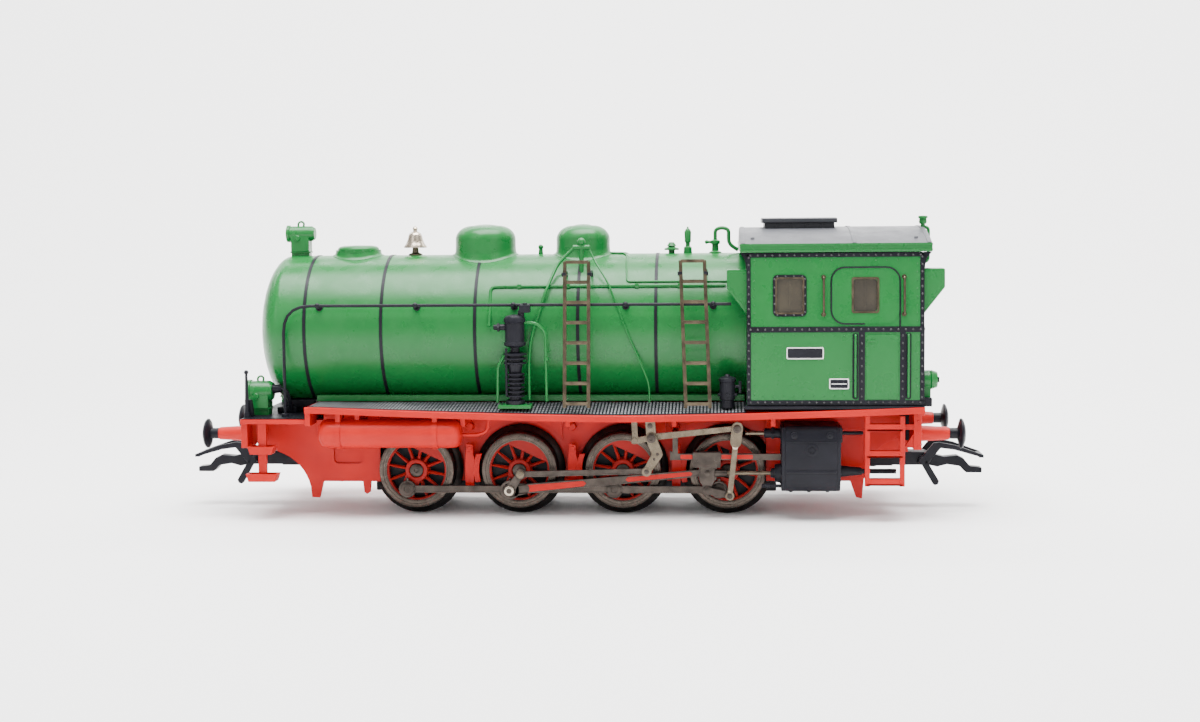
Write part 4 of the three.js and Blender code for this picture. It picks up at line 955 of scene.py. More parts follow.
def axles():
    for axle, place in enumerate(AXLES):
        number = axle + 1
        made = Shape()
        made.add(lathe([(0, -9.4), (0.9, -9.4), (0.95, -9.3), (0.95, -5), (0.95, 5), (0.95, 9.3),
                        (0.9, 9.4), (0, 9.4)], (place.x, 0, AXLE_Z), "Y", 32))
        if axle == 1:
            made.add(gear(place.x, AXLE_Z, 12, 3.0, 90), 0.03)
        made.piece(f"axle_{number}_turned", TYRE, "wheel_steel", f"wheelset_{number}",
                   replaces=(f"axle_{number}",))
    mesh_z = pivot("idler_spin").z
    made = Shape().add(gear(AXLES[1].x, mesh_z, 20, 5.0, 279), 0.03)
    made.add(lathe([(0, -3.35), (0.6, -3.35), (0.6, 3.35), (0, 3.35)], (AXLES[1].x, 0, mesh_z), "Y", 24))
    made.piece("idler_gear_cut", BRASS, "gear_brass", "idler_gear", replaces=("idler_gear",))
    shaft_z = pivot("motor_spin").z
    made = Shape()
    made.add(lathe([(0, -17.6), (0.5, -17.5), (0.5, 24), (0, 24)], (0, 0, shaft_z), "X", 24))
    worm = [(0.5, AXLES[1].x - 3)]
    for i in range(10):
        x = AXLES[1].x - 2.85 + i * 0.57
        worm += [(0.85, x), (1.1, x + 0.14), (1.1, x + 0.3), (0.85, x + 0.44)]
    made.add(lathe([(0, worm[0][1]), *worm, (0.5, AXLES[1].x + 3), (0, AXLES[1].x + 3)], (0, 0, shaft_z),
                   "X", 24))
    made.add(lathe([(0, 20.6), (3.2, 20.6), (3.5, 20.8), (3.5, 23.2), (3.2, 23.4), (1.4, 23.4),
                    (1.3, 23.0), (0, 23.0)], (0, 0, shaft_z), "X", 48))
    made.piece("worm_shaft_turned", BRASS, "gear_brass", "motor_shaft", replaces=("motor_shaft",))


def gear(x, z, teeth, pitch_r, start):
    """A spur gear: four points to a tooth."""
    outline = []
    for i in range(teeth):
        middle = start + i * 360 / teeth
        for offset, reach in ((-0.27, -0.55), (-0.12, 0.4), (0.12, 0.4), (0.27, -0.55)):
            outline.append(polar((x, z), middle + offset * 360 / teeth, pitch_r + reach))
    return prism(outline, -1.2, 1.2)


def layer(node):
    """How far out a node starts and ends, from the centre line."""
    reach = sorted(abs(y) for y in (low(node).y, high(node).y))
    return reach[0], reach[1]


def fluted(made, a, b, half_a, half_b, s, y0, y1):
    """A rod with round ends and raised edges beside a sunk face."""
    made.add(prism(eye_bar(a, b, half_a, half_b), s * y0, s * (y1 - 0.07)), 0.04)
    length = math.hypot(b[0] - a[0], b[1] - a[1])
    nx, nz = -(b[1] - a[1]) / length, (b[0] - a[0]) / length
    for side in (-1, 1):
        edge = []
        for place, half in ((a, half_a), (b, half_b)):
            for inset in (0.0, 0.2):
                edge.append((place[0] + side * nx * (half - inset),
                             place[1] + side * nz * (half - inset)))
        made.add(prism([edge[0], edge[2], edge[3], edge[1]], s * (y1 - 0.1), s * y1), 0.02)


def coupling_rods(side):
    s = SIDES[side]
    y0, y1 = layer(f"coupling_rod_{side}")
    made = Shape()
    pins = [crank_pin(side, axle) for axle in range(4)]
    for a, b in zip(pins, pins[1:]):
        start, end = between(a, b, 0.06), between(a, b, 0.94)
        fluted(made, start, end, 0.54, 0.54, s, y0 + 0.02, y1)
    for pin in pins:
        boss = [(0.56, y0), (1.3, y0), (1.36, y0 + 0.08), (1.36, y1 - 0.08), (1.28, y1), (0.56, y1),
                (0.56, y0)]
        made.add(turned(s, boss, pin, 36))
        made.add(rod((pin[0], s * (y0 + 0.24), pin[1] + 1.2), (pin[0], s * (y0 + 0.24), pin[1] + 1.7),
                     0.24, sides=10))
    for pin in (pins[1], pins[2]):
        joint = (pin[0] + 2.1, pin[1])
        made.add(turned(s, [(0, y0 + 0.03), (0.62, y0 + 0.03), (0.62, y1), (0.3, y1 + 0.04),
                            (0, y1 + 0.04)], joint, 24))
    made.piece(f"coupling_rod_{side}_etched", ROD, "rod_steel", f"coupling_rod_{side}",
               replaces=(f"coupling_rod_{side}",))


def crosshead_x(side):
    """The crosshead pin, found from the main rod's box."""
    return high(f"main_rod_{side}").x - SMALL_EYE_R


def main_rod(side):
    s = SIDES[side]
    y0, y1 = layer(f"main_rod_{side}")
    big = crank_pin(side, 1)
    small = (crosshead_x(side), AXLE_Z)
    made = Shape()
    fluted(made, between(big, small, 0.03), between(big, small, 0.98), 0.74, 0.5, s, y0, y1)
    for pin, r, hole in ((big, 1.5, 0.56), (small, 0.82, 0.3)):
        made.add(eye(s, pin, r, hole, y0, y1, 36))
    web = between(big, small, 0.075)
    made.add(prism(eye_bar(big, web, 1.15, 0.8), s * y0, s * y1), 0.04)
    middle = between(big, small, 0.41), between(big, small, 0.53)
    made.add(prism(eye_bar(*middle, 0.62, 0.56), s * (y0 + 0.1), s * (y1 - 0.01)), 0.03)
    made.piece(f"main_rod_{side}_etched", ROD, "rod_steel", f"main_rod_{side}",
               replaces=(f"main_rod_{side}",))
    flutes = Shape()
    for start, end, a, b in ((0.095, 0.375, 0.54, 0.4), (0.6, 0.915, 0.36, 0.3)):
        bar = eye_bar(between(big, small, start), between(big, small, end), a, b, 2)
        flutes.add(prism(bar, s * (y1 - 0.12), s * (y1 - 0.03)), 0.02)
    flutes.piece(f"main_rod_{side}_flutes", RED, "red_paint", f"main_rod_{side}")


def return_crank(side):
    s = SIDES[side]
    pin = crank_pin(side, 1)
    far = pivot(f"eccentric_rod_{side}_crank")
    tip = (far.x, far.z)
    y0, y1 = 11.8, 12.2
    made = Shape()
    made.add(prism(eye_bar(pin, tip, 0.78, 0.52), s * y0, s * y1), 0.05)
    made.add(turned(s, [(0, 11.72), (1.0, 11.72), (1.05, 11.8), (1.05, 12.15), (0.95, 12.25), (0, 12.25)],
                    pin, 8))
    made.add(turned(s, [(0, 12.2), (0.82, 12.2), (0.82, 12.42), (0.72, 12.5), (0.4, 12.5), (0.34, 12.44),
                        (0, 12.44)], pin, 6))
    made.piece(f"return_crank_{side}_etched", ROD, "rod_steel", "wheelset_2",
               replaces=(f"return_crank_{side}",))
    nut = Shape()
    nut.add(turned(s, [(0, 12.1), (0.34, 12.1), (0.34, 12.74), (0.62, 12.76), (0.62, 12.88),
                       (0.52, 12.95), (0.2, 12.95), (0.14, 12.9), (0, 12.9)], tip, 28))
    nut.piece(f"return_crank_{side}_pin", NICKEL, "etched_nickel", "wheelset_2")
    ring = Shape()
    ring.add(turned(s, [(0.42, 12.4), (0.74, 12.4), (0.74, 12.53), (0.66, 12.58), (0.42, 12.58),
                        (0.42, 12.4)], pin, 32))
    ring.piece(f"return_crank_{side}_ring", BRIGHT, "bell_metal", "wheelset_2")


def eccentric_rod(side):
    s = SIDES[side]
    y0, y1 = layer(f"eccentric_rod_{side}")
    far = pivot(f"eccentric_rod_{side}_crank")
    a = (far.x, far.z)
    b = link_foot(side)
    made = Shape()
    fluted(made, between(a, b, 0.04), between(a, b, 0.97), 0.44, 0.42, s, y0, y1)
    for pin, r, hole in ((a, 0.82, 0.4), (b, 0.74, 0.28)):
        made.add(eye(s, pin, r, hole, y0, y1, 32))
    made.piece(f"eccentric_rod_{side}_etched", ROD, "rod_steel", f"eccentric_rod_{side}",
               replaces=(f"eccentric_rod_{side}",))


def link_foot(side):
    """The far eye of the eccentric rod, found from its box."""
    near = pivot(f"eccentric_rod_{side}_crank")
    node = f"eccentric_rod_{side}"
    x = high(node).x - LINK_EYE_R
    upper, lower = high(node).z, low(node).z
    rises = upper - near.z > CRANK_EYE_R
    return (x, upper - LINK_EYE_R if rises else lower + LINK_EYE_R)


def expansion_link(side):
    s = SIDES[side]
    y0, y1 = layer(f"expansion_link_{side}")
    top = pivot(f"expansion_link_{side}_swing")
    top = (top.x, top.z)
    foot = link_foot(side)
    knee = (top[0] + 0.95 + (foot[0] - top[0] + 0.7) * 0.5, top[1] - 2.4)
    made = Shape()
    made.add(prism(eye_bar(top, knee, 0.82, 0.8), s * y0, s * y1), 0.05)
    made.add(prism(eye_bar(knee, foot, 0.8, 0.58), s * y0, s * (y1 - 0.03)), 0.05)
    made.add(turned(s, [(0, y0), (0.72, y0), (0.72, y1), (0.6, y1 + 0.02), (0, y1 + 0.02)], foot, 28))
    screws = Shape()
    for at, r in ((foot, 0.4), (between(knee, foot, 0.3), 0.2), (knee, 0.24)):
        screws.add(screw(s, at, r, y1))
    screws.piece(f"expansion_link_{side}_screws", ROD, "rod_steel", f"expansion_link_{side}")
    made.piece(f"expansion_link_{side}_etched", NICKEL, "etched_nickel", f"expansion_link_{side}",
               replaces=(f"expansion_link_{side}",))


def combination_lever(side):
    """The lever hangs from its pivot; its foot is on the side where its box reaches farther."""
    s = SIDES[side]
    y0, y1 = layer(f"combination_lever_{side}")
    node = f"combination_lever_{side}"
    top = pivot(f"{node}_swing")
    top = (top.x, top.z)
    leans_back = high(node).x - top[0] > top[0] - low(node).x
    foot_x = high(node).x - LEVER_EYE_R if leans_back else low(node).x + LEVER_EYE_R
    foot = (foot_x, low(node).z + LEVER_EYE_R)
    made = Shape()
    made.add(prism(eye_bar(between(top, foot, -0.02), between(top, foot, 0.2), 0.86, 0.84), s * y0,
                   s * y1), 0.05)
    made.add(prism(eye_bar(between(top, foot, 0.24), foot, 0.42, 0.4), s * (y0 + 0.04), s * (y1 - 0.04)),
             0.04)
    made.add(turned(s, [(0, y0), (0.7, y0), (0.7, y1 - 0.03), (0.64, y1 + 0.02), (0, y1 + 0.02)], foot,
                    28))
    made.piece(f"{node}_etched", NICKEL, "etched_nickel", node, replaces=(node,))
    screws = Shape()
    screws.add(screw(s, foot, 0.42, y1))
    screws.piece(f"{node}_screws", ROD, "rod_steel", node)
    collar = Shape()
    collar.add(prism(eye_bar(between(top, foot, 0.235), between(top, foot, 0.262), 0.5, 0.5, 3),
                     s * (y0 + 0.02), s * (y1 - 0.01)), 0.03)
    collar.piece(f"{node}_collar", BRIGHT, "bell_metal", node)


def crosshead(side):
    s = SIDES[side]
    node = f"crosshead_{side}"
    x = crosshead_x(side)
    union = f"combination_lever_{side}"
    made = Shape()
    for z0, z1 in ((7.87, 8.87), (10.04, 10.24)):
        made.add(block(x - 2.2, x + 2.0, s * 11.82, s * 12.98, z0, z1), 0.06)
    for y in (12.72, 11.82):
        made.add(block(x - 2.2, x + 2.0, s * y, s * (y + 0.26 if y > 12 else y + 0.12), 7.9, 10.2), 0.05)
    outline = [(x - 1.3, 8), (x - 1.3, 6), (x - 0.75, 5.2), (x - 0.65, 4.29), (x + 0.65, 4.29),
               (x + 0.75, 5.4), (x + 1.4, 6), (x + 1.4, 8)]
    made.add(prism(outline, s * 11.8, s * 12.3), 0.06)
    made.add(prism(eye_bar((x - 0.05, 6.0), (x + 0.05, 7.6), 1.15, 1.1), s * 12.2, s * 12.52), 0.08)
    made.add(turned(s, [(0, 12.3), (0.5, 12.3), (0.5, 12.62), (0.35, 12.68), (0, 12.68)], (x, AXLE_Z), 6))
    made.add(rod((x + 1.1, s * 12.35, AXLE_Z), (x + 3.0, s * 12.35, AXLE_Z), 0.58, chamfer=0.08))
    for dx in (-1.6, 1.4):
        made.add(turned(s, [(0, 12.9), (0.34, 12.9), (0.3, 13.0), (0.12, 13.0), (0.1, 12.96), (0, 12.96)],
                        (x + dx, 9.1), 20))
        made.add(turned(s, [(0, 12.9), (0.26, 12.9), (0.22, 13.0), (0, 13.0)], (x + dx, 8.3), 6))
    drop = (x, 4.29)
    reach = (x + UNION_LINK_REACH, low(union).z + LEVER_EYE_R)
    made.add(prism(eye_bar(drop, reach, 0.58, 0.52), s * 12.42, s * 12.78), 0.05)
    made.add(turned(s, [(0, 11.8), (0.7, 11.8), (0.7, 12.8), (0.62, 12.86), (0, 12.86)], drop, 28))
    made.add(turned(s, [(0, 12.42), (0.6, 12.42), (0.6, 12.8), (0, 12.8)], reach, 28))
    made.piece(f"{node}_cast", ROD, "rod_steel", node, replaces=(node,))
    bar = Shape().add(rod((x + 2.8, s * PISTON_Y, AXLE_Z), (x + 13.5, s * PISTON_Y, AXLE_Z), 0.34,
                          sides=20, chamfer=0.05))
    bar.piece(f"{node}_piston_rod", NICKEL, "etched_nickel", node)


def motion_bracket(side):
    s = SIDES[side]
    node = f"motion_bracket_{side}"
    link = pivot(f"expansion_link_{side}_swing")
    lever = pivot(f"combination_lever_{side}_swing")
    link, lever = (link.x, link.z), (lever.x, lever.z)
    outer = (12.3, 12.7)
    made, pins = Shape(), Shape()
    made.add(prism(eye_bar((8.55, 16.0), (8.75, 12.1), 0.44, 0.45, 4), s * outer[0], s * outer[1]), 0.04)
    made.add(prism(eye_bar((8.6, 11.9), link, 0.52, 0.44), s * (outer[0] + 0.03), s * (outer[1] - 0.03)),
             0.04)
    made.add(prism(eye_bar((10.95, 16.0), link, 0.74, 0.76, 4), s * outer[0], s * (outer[1] + 0.05)),
             0.05)
    made.add(prism(eye_bar((11.6, 12.5), lever, 0.5, 0.42), s * outer[0], s * (outer[1] - 0.04)), 0.05)
    made.add(rod((8.65, s * 12.2, 11.95), (8.65, s * 12.82, 11.95), 0.5, chamfer=0.05))
    for at, y0, y1, r in ((link, 12.5, 13.5, 0.7), (lever, 12.5, 13.75, 0.62)):
        profile = [(0, y0), (0.38, y0), (0.38, y1 - 0.17), (r, y1 - 0.17), (r, y1 - 0.05), (r - 0.08, y1),
                   (0.3, y1), (0.25, y1 - 0.05), (0, y1 - 0.05)]
        pins.add(lathe([(a, s * b) for a, b in profile], (at[0], 0, at[1]), "Y", 30))
        pins.add(block(at[0] - r * 0.6, at[0] + r * 0.6, s * (y1 - 0.06), s * (y1 + 0.02), at[1] - 0.08,
                       at[1] + 0.08))
    pins.add(turned(s, [(0, 12.7), (0.42, 12.7), (0.42, 12.79), (0.3, 12.82), (0, 12.82)], (11.0, 14.2),
                    20))
    made.piece(f"{node}_etched", NICKEL, "etched_nickel", replaces=(node,))
    pins.piece(f"{node}_pins", ROD, "rod_steel")
    guide = Shape()
    guide.add(prism([(14.0, 8.97), (30.9, 8.97), (30.9, 9.94), (15.2, 9.94), (14.0, 10.3)], s * 12.04,
                    s * 12.6), 0.04)
    guide.add(block(14.4, 15.2, s * 12.3, s * 12.6, 9.9, 12.95), 0.04)
    guide.add(block(14.4, 15.2, s * 7.0, s * 12.4, 12.5, 13.2), 0.05)
    guide.piece(f"guide_bar_{side}", ROD, "rod_steel")
    inset = Shape()
    for x0, x1 in ((15.6, 17.4), (21.8, 26.5)):
        inset.add(prism(rounded(x0, x1, 9.14, 9.78, 0.1, 2), s * 12.5, s * 12.63), 0.02)
    inset.piece(f"guide_bar_{side}_flutes", RED, "red_paint")


def cylinder(side):
    s = SIDES[side]
    node = f"cylinder_{side}"
    made = Shape()
    section = [(8.9, 4.8), (13.4, 4.4), (14.3, 4.6), (15.3, 5.6), (15.75, 6.6), (15.9, 7.8), (15.9, 12.0),
               (15.7, 13.6), (15.0, 14.4), (14.2, 14.5), (8.9, 14.5)]
    made.add(prism([(s * y, z) for y, z in section], 31.3, 39.0, "X"), 0.12)
    flange = [(s * (8.9 + (y - 8.9) * 0.985), 4.65 + (z - 4.65) * 0.99) for y, z in section]
    for x0, x1 in ((30.75, 31.35), (38.95, 39.5)):
        made.add(prism(flange, x0, x1, "X"), 0.08)
        for t in range(9):
            y, z = s * (10.2 + 5.1 * abs(math.sin(t * 0.7))), 5.2 + t * 1.05
            made.add(rivet((x0 if x0 < 35 else x1, y, z), (-1 if x0 < 35 else 1, 0, 0), 0.2))
    made.add(prism([(s * y, z) for y, z in ((10.6, 11.8), (15.2, 11.8), (15.2, 14.3), (10.6, 14.3))],
                   30.6, 39.8, "X"), 0.35)
    made.add(rod((30.9, s * PISTON_Y, AXLE_Z), (29.8, s * PISTON_Y, AXLE_Z), 1.5, 1.35, 32, 0.12))
    made.add(rod((29.9, s * PISTON_Y, AXLE_Z), (29.2, s * PISTON_Y, AXLE_Z), 0.8, 0.7, 24, 0.08))
    made.add(rod((28.2, s * VALVE_Y, VALVE_Z), (31, s * VALVE_Y, VALVE_Z), 0.7, 0.75, 24, 0.1))
    made.add(rod((29.3, s * VALVE_Y, VALVE_Z), (29.7, s * VALVE_Y, VALVE_Z), 0.95, sides=6))
    made.add(rod((39.4, s * VALVE_Y, VALVE_Z), (43, s * VALVE_Y, VALVE_Z), 0.28, sides=12, chamfer=0.04))
    made.add(rod((39.2, s * PISTON_Y, AXLE_Z + 0.3), (42.9, s * PISTON_Y, AXLE_Z + 0.3), 0.95, 0.55, 24,
                 0.1))
    made.add(rod((42.6, s * PISTON_Y, AXLE_Z + 0.3), (48, s * PISTON_Y, AXLE_Z + 0.3), 0.38, sides=16,
                 chamfer=0.05))
    made.add(rod((27.8, s * 13.4, 5.2), (31.4, s * 13.4, 5.2), 0.26, sides=12))
    made.add(block(28.4, 29.0, s * 13.0, s * 13.8, 4.9, 5.6), 0.06)
    for x in (32.2, 34.9, 37.7):
        made.add(rod((x, s * 13.0, 4.6), (x, s * 13.0, 4.22), 0.42, 0.25, 12))
    face = s * 15.9
    boss = [(0, -0.2), (1.0, -0.2), (1.0, 0.06), (0.85, 0.13), (0.62, 0.13), (0.58, 0.02), (0.35, 0.02),
            (0.3, 0.12), (0, 0.14)]
    made.add(lathe([(r, face + s * dy) for r, dy in boss], (35.2, 0, 11.0), "Y", 32))
    for x in (32.6, 37.9):
        bolt = [(0, -0.5), (0.5, -0.5), (0.5, 0.04), (0.42, 0.1), (0.2, 0.1), (0.16, 0.04), (0, 0.04)]
        made.add(lathe([(r, face + s * dy) for r, dy in bolt], (x, 0, 13.1), "Y", 24))
    made.add(block(31.4, 38.9, s * 15.3, s * 16.06, 7.5, 7.85), 0.08)
    made.add(block(31.3, 39.0, s * 15.2, s * 15.98, 12.05, 12.2), 0.04)
    made.piece(f"{node}_cast", BLACK, "black_plastic", replaces=(node,))
    shine = Shape()
    shine.add(rod((25.4, s * VALVE_Y, VALVE_Z), (28.5, s * VALVE_Y, VALVE_Z), 0.34, sides=16,
                  chamfer=0.04))
    shine.piece(f"valve_rod_{side}", NICKEL, "etched_nickel")


# ---------- cab ----------
def lean(co):
    """The side sheets lean in above the waist."""
    above = max(0.0, co.z - CAB_WAIST_Z) / (CAB_Z[1] - CAB_WAIST_Z)
    return Vector((co.x, co.y - math.copysign(CAB_LEAN * above * min(1.0, abs(co.y) / 10), co.y), co.z))


WINDOWS = ((29.5, 34.4, 30.85, 36.94), (41.04, 45.13, 31.25, 36.6))


PLATES = ((31.46, 36.96, 24.47, 26.24), (37.76, 40.69, 20.0, 21.58))
DOOR_RAIL_X = (41.6, 49.4)


def cab():
    x0, x1 = CAB_X
    wall = 0.8
    green = Shape()
    holes = [rounded(a + 0.3, b - 0.3, c + 0.3, d - 0.3, 0.45) for a, b, c, d in WINDOWS]
    for s in (-1, 1):
        outer = s * CAB_HALF
        lower = [(x0, CAB_Z[0]), (x1, CAB_Z[0]), (x1, CAB_WAIST_Z), (x0, CAB_WAIST_Z)]
        green.add(prism(lower, outer - s * wall, outer))
        upper = [(x0, CAB_WAIST_Z), (x1, CAB_WAIST_Z), (x1, CAB_Z[1]), (x0, CAB_Z[1])]
        green.add(prism(upper, outer - s * wall, outer, holes=holes), warp=lean)
        door = rounded(43.2, 47.9, 18.5, 28.1, 0.5)
        green.add(prism(door, outer - s * 0.1, outer + s * 0.14), 0.06)
        upper_door = rounded(38.15, 48.07, 29.75, 37.95, 2.0, 8)
        green.add(prism(upper_door, outer - s * 0.1, outer + s * 0.09, holes=[holes[1]]), warp=lean)
        green.add(block(43.3, 44.5, outer, outer + s * 0.3, 27.05, 27.3), 0.06)
        rows = [(x0 + 1.2 + i * 1.62, 39.1) for i in range(16)] + [(x, 30.1 + i * 1.2)
                                                                   for x in (x0 + 1.1, x1 - 1.0)
                                                                   for i in range(8)]
        rows += [(x, 19.2 + i * 1.25) for x in (x0 + 1.1, x1 - 1.0)
                 for i in range(8)] + [(x0 + 2.4 + i * 1.5, z) for z in (19.0, 27.9) for i in range(9)]
        for x, z in rows:
            spot = lean(Vector((x, outer, z)))
            green.add(rivet(tuple(spot), (0, s, 0), 0.13))
        for x in DOOR_RAIL_X:
            green.add(pipe([(x, outer - s * 0.2, 18.8), (x, outer + s * 0.42, 18.9),
                            (x, outer + s * 0.42, 28.0), (x, outer - s * 0.2, 28.1)], 0.18, 0.4))
    end = [(-CAB_HALF + 0.1, CAB_Z[0]), (CAB_HALF - 0.1, CAB_Z[0]), (CAB_HALF - 0.1, CAB_WAIST_Z),
           (CAB_HALF - CAB_LEAN - 0.1, CAB_Z[1]),
           (-CAB_HALF + CAB_LEAN + 0.1, CAB_Z[1]), (-CAB_HALF + 0.1, CAB_WAIST_Z)]
    spectacles = [rounded(s * 4.2 if s > 0 else -9.4, s * 9.4 if s > 0 else -4.2, 31, 37, 0.6)
                  for s in (-1, 1)]
    green.add(prism(end, x1 - wall, x1, "X", holes=spectacles))
    green.add(prism(end, x0, x0 + wall, "X"))
    for s in (-1, 1):
        for wall_x, reach in ((x0 + 0.05, -3.0), (x1 - 0.05, 3.2)):
            hood = [(wall_x, 30.9), (wall_x + reach, 35.0), (wall_x + reach, 37.8), (wall_x, 37.8)]
            green.add(prism(hood, s * 11.0, s * 14.1), 0.24)
            green.add(prism([(wall_x, 31.6), (wall_x + reach * 0.85, 35.2), (wall_x + reach * 0.85, 37.4),
                             (wall_x, 37.4)], s * 14.05, s * 14.16), 0.04)
    for s in (-1, 1):
        y = s * 12
        green.add(rod((x1, y, 21.1), (53.0, y, 21.1), 1.4, 1.45, 32, 0.15))
        green.add(rod((53.0, y, 21.1), (54.0, y, 21.1), 1.45, 1.2, 32, 0.1))
        green.add(block(x1 - 0.1, 53.0, y - 0.8, y + 0.8, 18.4, 20.2), 0.1)
    gutter = [(-14.6, 40.3), (14.6, 40.3), (14.7, 40.5), (14.7, 41.6), (-14.7, 41.6), (-14.7, 40.5)]
    green.add(prism(gutter, x0 - 1.0, x1 + 1.2, "X"), 0.05)
    for z in (40.62, 41.38):
        green.add(prism(rounded(x0 - 1.08, x1 + 1.28, -14.82, 14.82, 0.3), z - 0.1, z + 0.1, "Z"), 0.04)
    green.piece("cab_sheets", GREEN, "green_paint", replaces=("cab_body",))

    black, rivets = Shape(), Shape()
    strips = [(x0, x1, 28.44, 29.3), (x0, x1, CAB_Z[0], 18.35), (42.09, 43.02, 18.3, 28.5),
              (48.16, 49.0, 18.3, 28.5),
              (x0 - 0.02, x0 + 0.6, 18.2, 28.6), (x1 - 0.6, x1 + 0.02, 18.2, 28.6)]
    tall = [(x0 - 0.02, x0 + 0.6, 29.2, 40.1), (x1 - 0.6, x1 + 0.02, 29.2, 40.1), (x0, x1, 39.55, 40.2)]
    for s in (-1, 1):
        face = s * CAB_HALF
        for a, b, c, d in strips + tall:
            black.add(block(a, b, face - s * 0.1, face + s * 0.09, c, d), 0.03, warp=lean)
            long_x = b - a > d - c
            run = (b - a) if long_x else (d - c)
            count = max(2, int(run / 1.05))
            for i in range(count):
                t = (i + 0.5) / count
                spot = Vector((a + run * t, face, (c + d) / 2)) if long_x else Vector(((a + b) / 2, face,
                                                                                       c + run * t))
                spot = lean(spot)
                rivets.add(rivet((spot.x, spot.y + s * 0.09, spot.z), (0, s, 0), 0.17))
        for wall_x, reach in ((x0, -0.95), (x1, 1.15)):
            flare = [(wall_x, 37.6), (wall_x + reach * 0.3, 39.3), (wall_x + reach, 40.25),
                     (wall_x, 40.25)]
            black.add(prism(flare, face - s * 0.95, face - s * 0.05), 0.02, warp=lean)
        # A black strip lies flat on the wall behind each door handrail, as painted shade for the dark
        # recess behind the rail.
        for x in DOOR_RAIL_X:
            black.add(prism(rounded(x - 0.42, x + 0.42, 18.5, 28.3, 0.3), face - s * 0.1,
                            face + s * 0.03))
        edge = arc((40.07, 31.7), 2.0, 270, 180, 6) + arc((40.07, 36.03), 2.0, 180, 90,
                                                          6) + arc((46.15, 36.03), 2.0, 90, 0, 6)
        edge = [(43.0, 29.7), *edge, (48.15, 29.2)]
        for one, two in zip(edge, edge[1:]):
            a, b = lean(Vector((one[0], face + s * 0.06, one[1]))), lean(Vector((two[0], face + s * 0.06,
                                                                                 two[1])))
            black.add(rod(tuple(a), tuple(b), 0.13, sides=8))
        a, b, c, d = WINDOWS[0]
        frame_out = rounded(a - 0.05, b + 0.05, c - 0.05, d + 0.05, 0.7)
        black.add(prism(frame_out, face - s * 0.1, face + s * 0.12,
                        holes=[rounded(a + 0.45, b - 0.45, c + 0.45, d - 0.45, 0.4)]), warp=lean)
        for i in range(5):
            for x in (a + 0.2, b - 0.2):
                spot = lean(Vector((x, face, c + (d - c) * (i + 0.5) / 5)))
                rivets.add(rivet((spot.x, spot.y + s * 0.12, spot.z), (0, s, 0), 0.14))
        for i in range(4):
            for z in (c + 0.2, d - 0.2):
                spot = lean(Vector((a + (b - a) * (i + 0.5) / 4, face, z)))
                rivets.add(rivet((spot.x, spot.y + s * 0.12, spot.z), (0, s, 0), 0.14))
        for a, b, c, d in PLATES:
            black.add(prism(rounded(a + 0.17, b - 0.17, c + 0.17, d - 0.17, 0.14, 3), face - s * 0.05,
                            face + s * 0.17), 0.02)
    for z in (CAB_Z[0] + 0.4, 28.87):
        black.add(block(x1 - 0.1, x1 + 0.09, -CAB_HALF + 0.05, CAB_HALF - 0.05, z - 0.4, z + 0.4), 0.03)
        for i in range(27):
            rivets.add(rivet((x1 + 0.09, -14.6 + i * 1.123, z), (1, 0, 0), 0.17))
    for s in (-1, 1):
        black.add(block(x1 - 0.1, x1 + 0.09, s * 14.45, s * 15.15, CAB_Z[0], 28.9), 0.03)
        black.add(block(54.0, 54.3, s * 12 - 0.5, s * 12 + 0.5, 20.7, 21.5), 0.05)
    black.add(block(x0 + 0.2, x1 - 0.2, -15.0, 15.0, BOARD_TOP - 0.05, CAB_Z[0] + 0.05))
    black.add(block(x0 - 0.4, x1 + 0.1, -15.9, 15.9, BOARD_TOP - 0.45, BOARD_TOP - 0.02), 0.04)
    black.piece("cab_strips", BLACK, "black_plastic")
    # The strip rivets take the grey painted-highlight colour.
    rivets.piece("cab_rivets", RIVET_GLINT, "black_plastic")

    pale = Shape()
    for s in (-1, 1):
        face = s * CAB_HALF
        for a, b, c, d in PLATES:
            pale.add(prism(rounded(a, b, c, d, 0.2, 3), face - s * 0.05, face + s * 0.13), 0.02)
        pale.add(block(38.1, 40.35, face, face + s * 0.18, 20.72, 20.84))
    pale.piece("blank_plates", WHITE, "bell_metal")

    brass = Shape()
    for s in (-1, 1):
        face = s * CAB_HALF
        for x in (36.94, 48.77):
            foot, head = lean(Vector((x, face, 31.1))), lean(Vector((x, face, 36.6)))
            out = s * 0.62
            brass.add(pipe([(x, foot.y, foot.z), (x, foot.y + out, foot.z), (x, head.y + out, head.z),
                            (x, head.y, head.z)], 0.18, 0.35))
            for spot in (foot, head):
                brass.add(lathe([(0, spot.y), (0.36, spot.y), (0.3, spot.y + s * 0.12),
                                 (0, spot.y + s * 0.14)], (x, 0, spot.z), "Y", 20))
        a, b, c, d = WINDOWS[1]
        ring = prism(rounded(a, b, c, d, 0.35), face - s * 0.1, face + s * 0.16,
                     holes=[rounded(a + 0.32, b - 0.32, c + 0.32, d - 0.32, 0.2)])
        brass.add(ring, warp=lean)
        a, b, c, d = WINDOWS[0]
        lip = prism(rounded(a + 0.3, b - 0.3, c + 0.3, d - 0.3, 0.3), face - s * 0.1, face + s * 0.13,
                    holes=[rounded(a + 0.55, b - 0.55, c + 0.55, d - 0.55, 0.2)])
        brass.add(lip, warp=lean)
    brass.piece("cab_rails", BRONZED, "gear_brass")

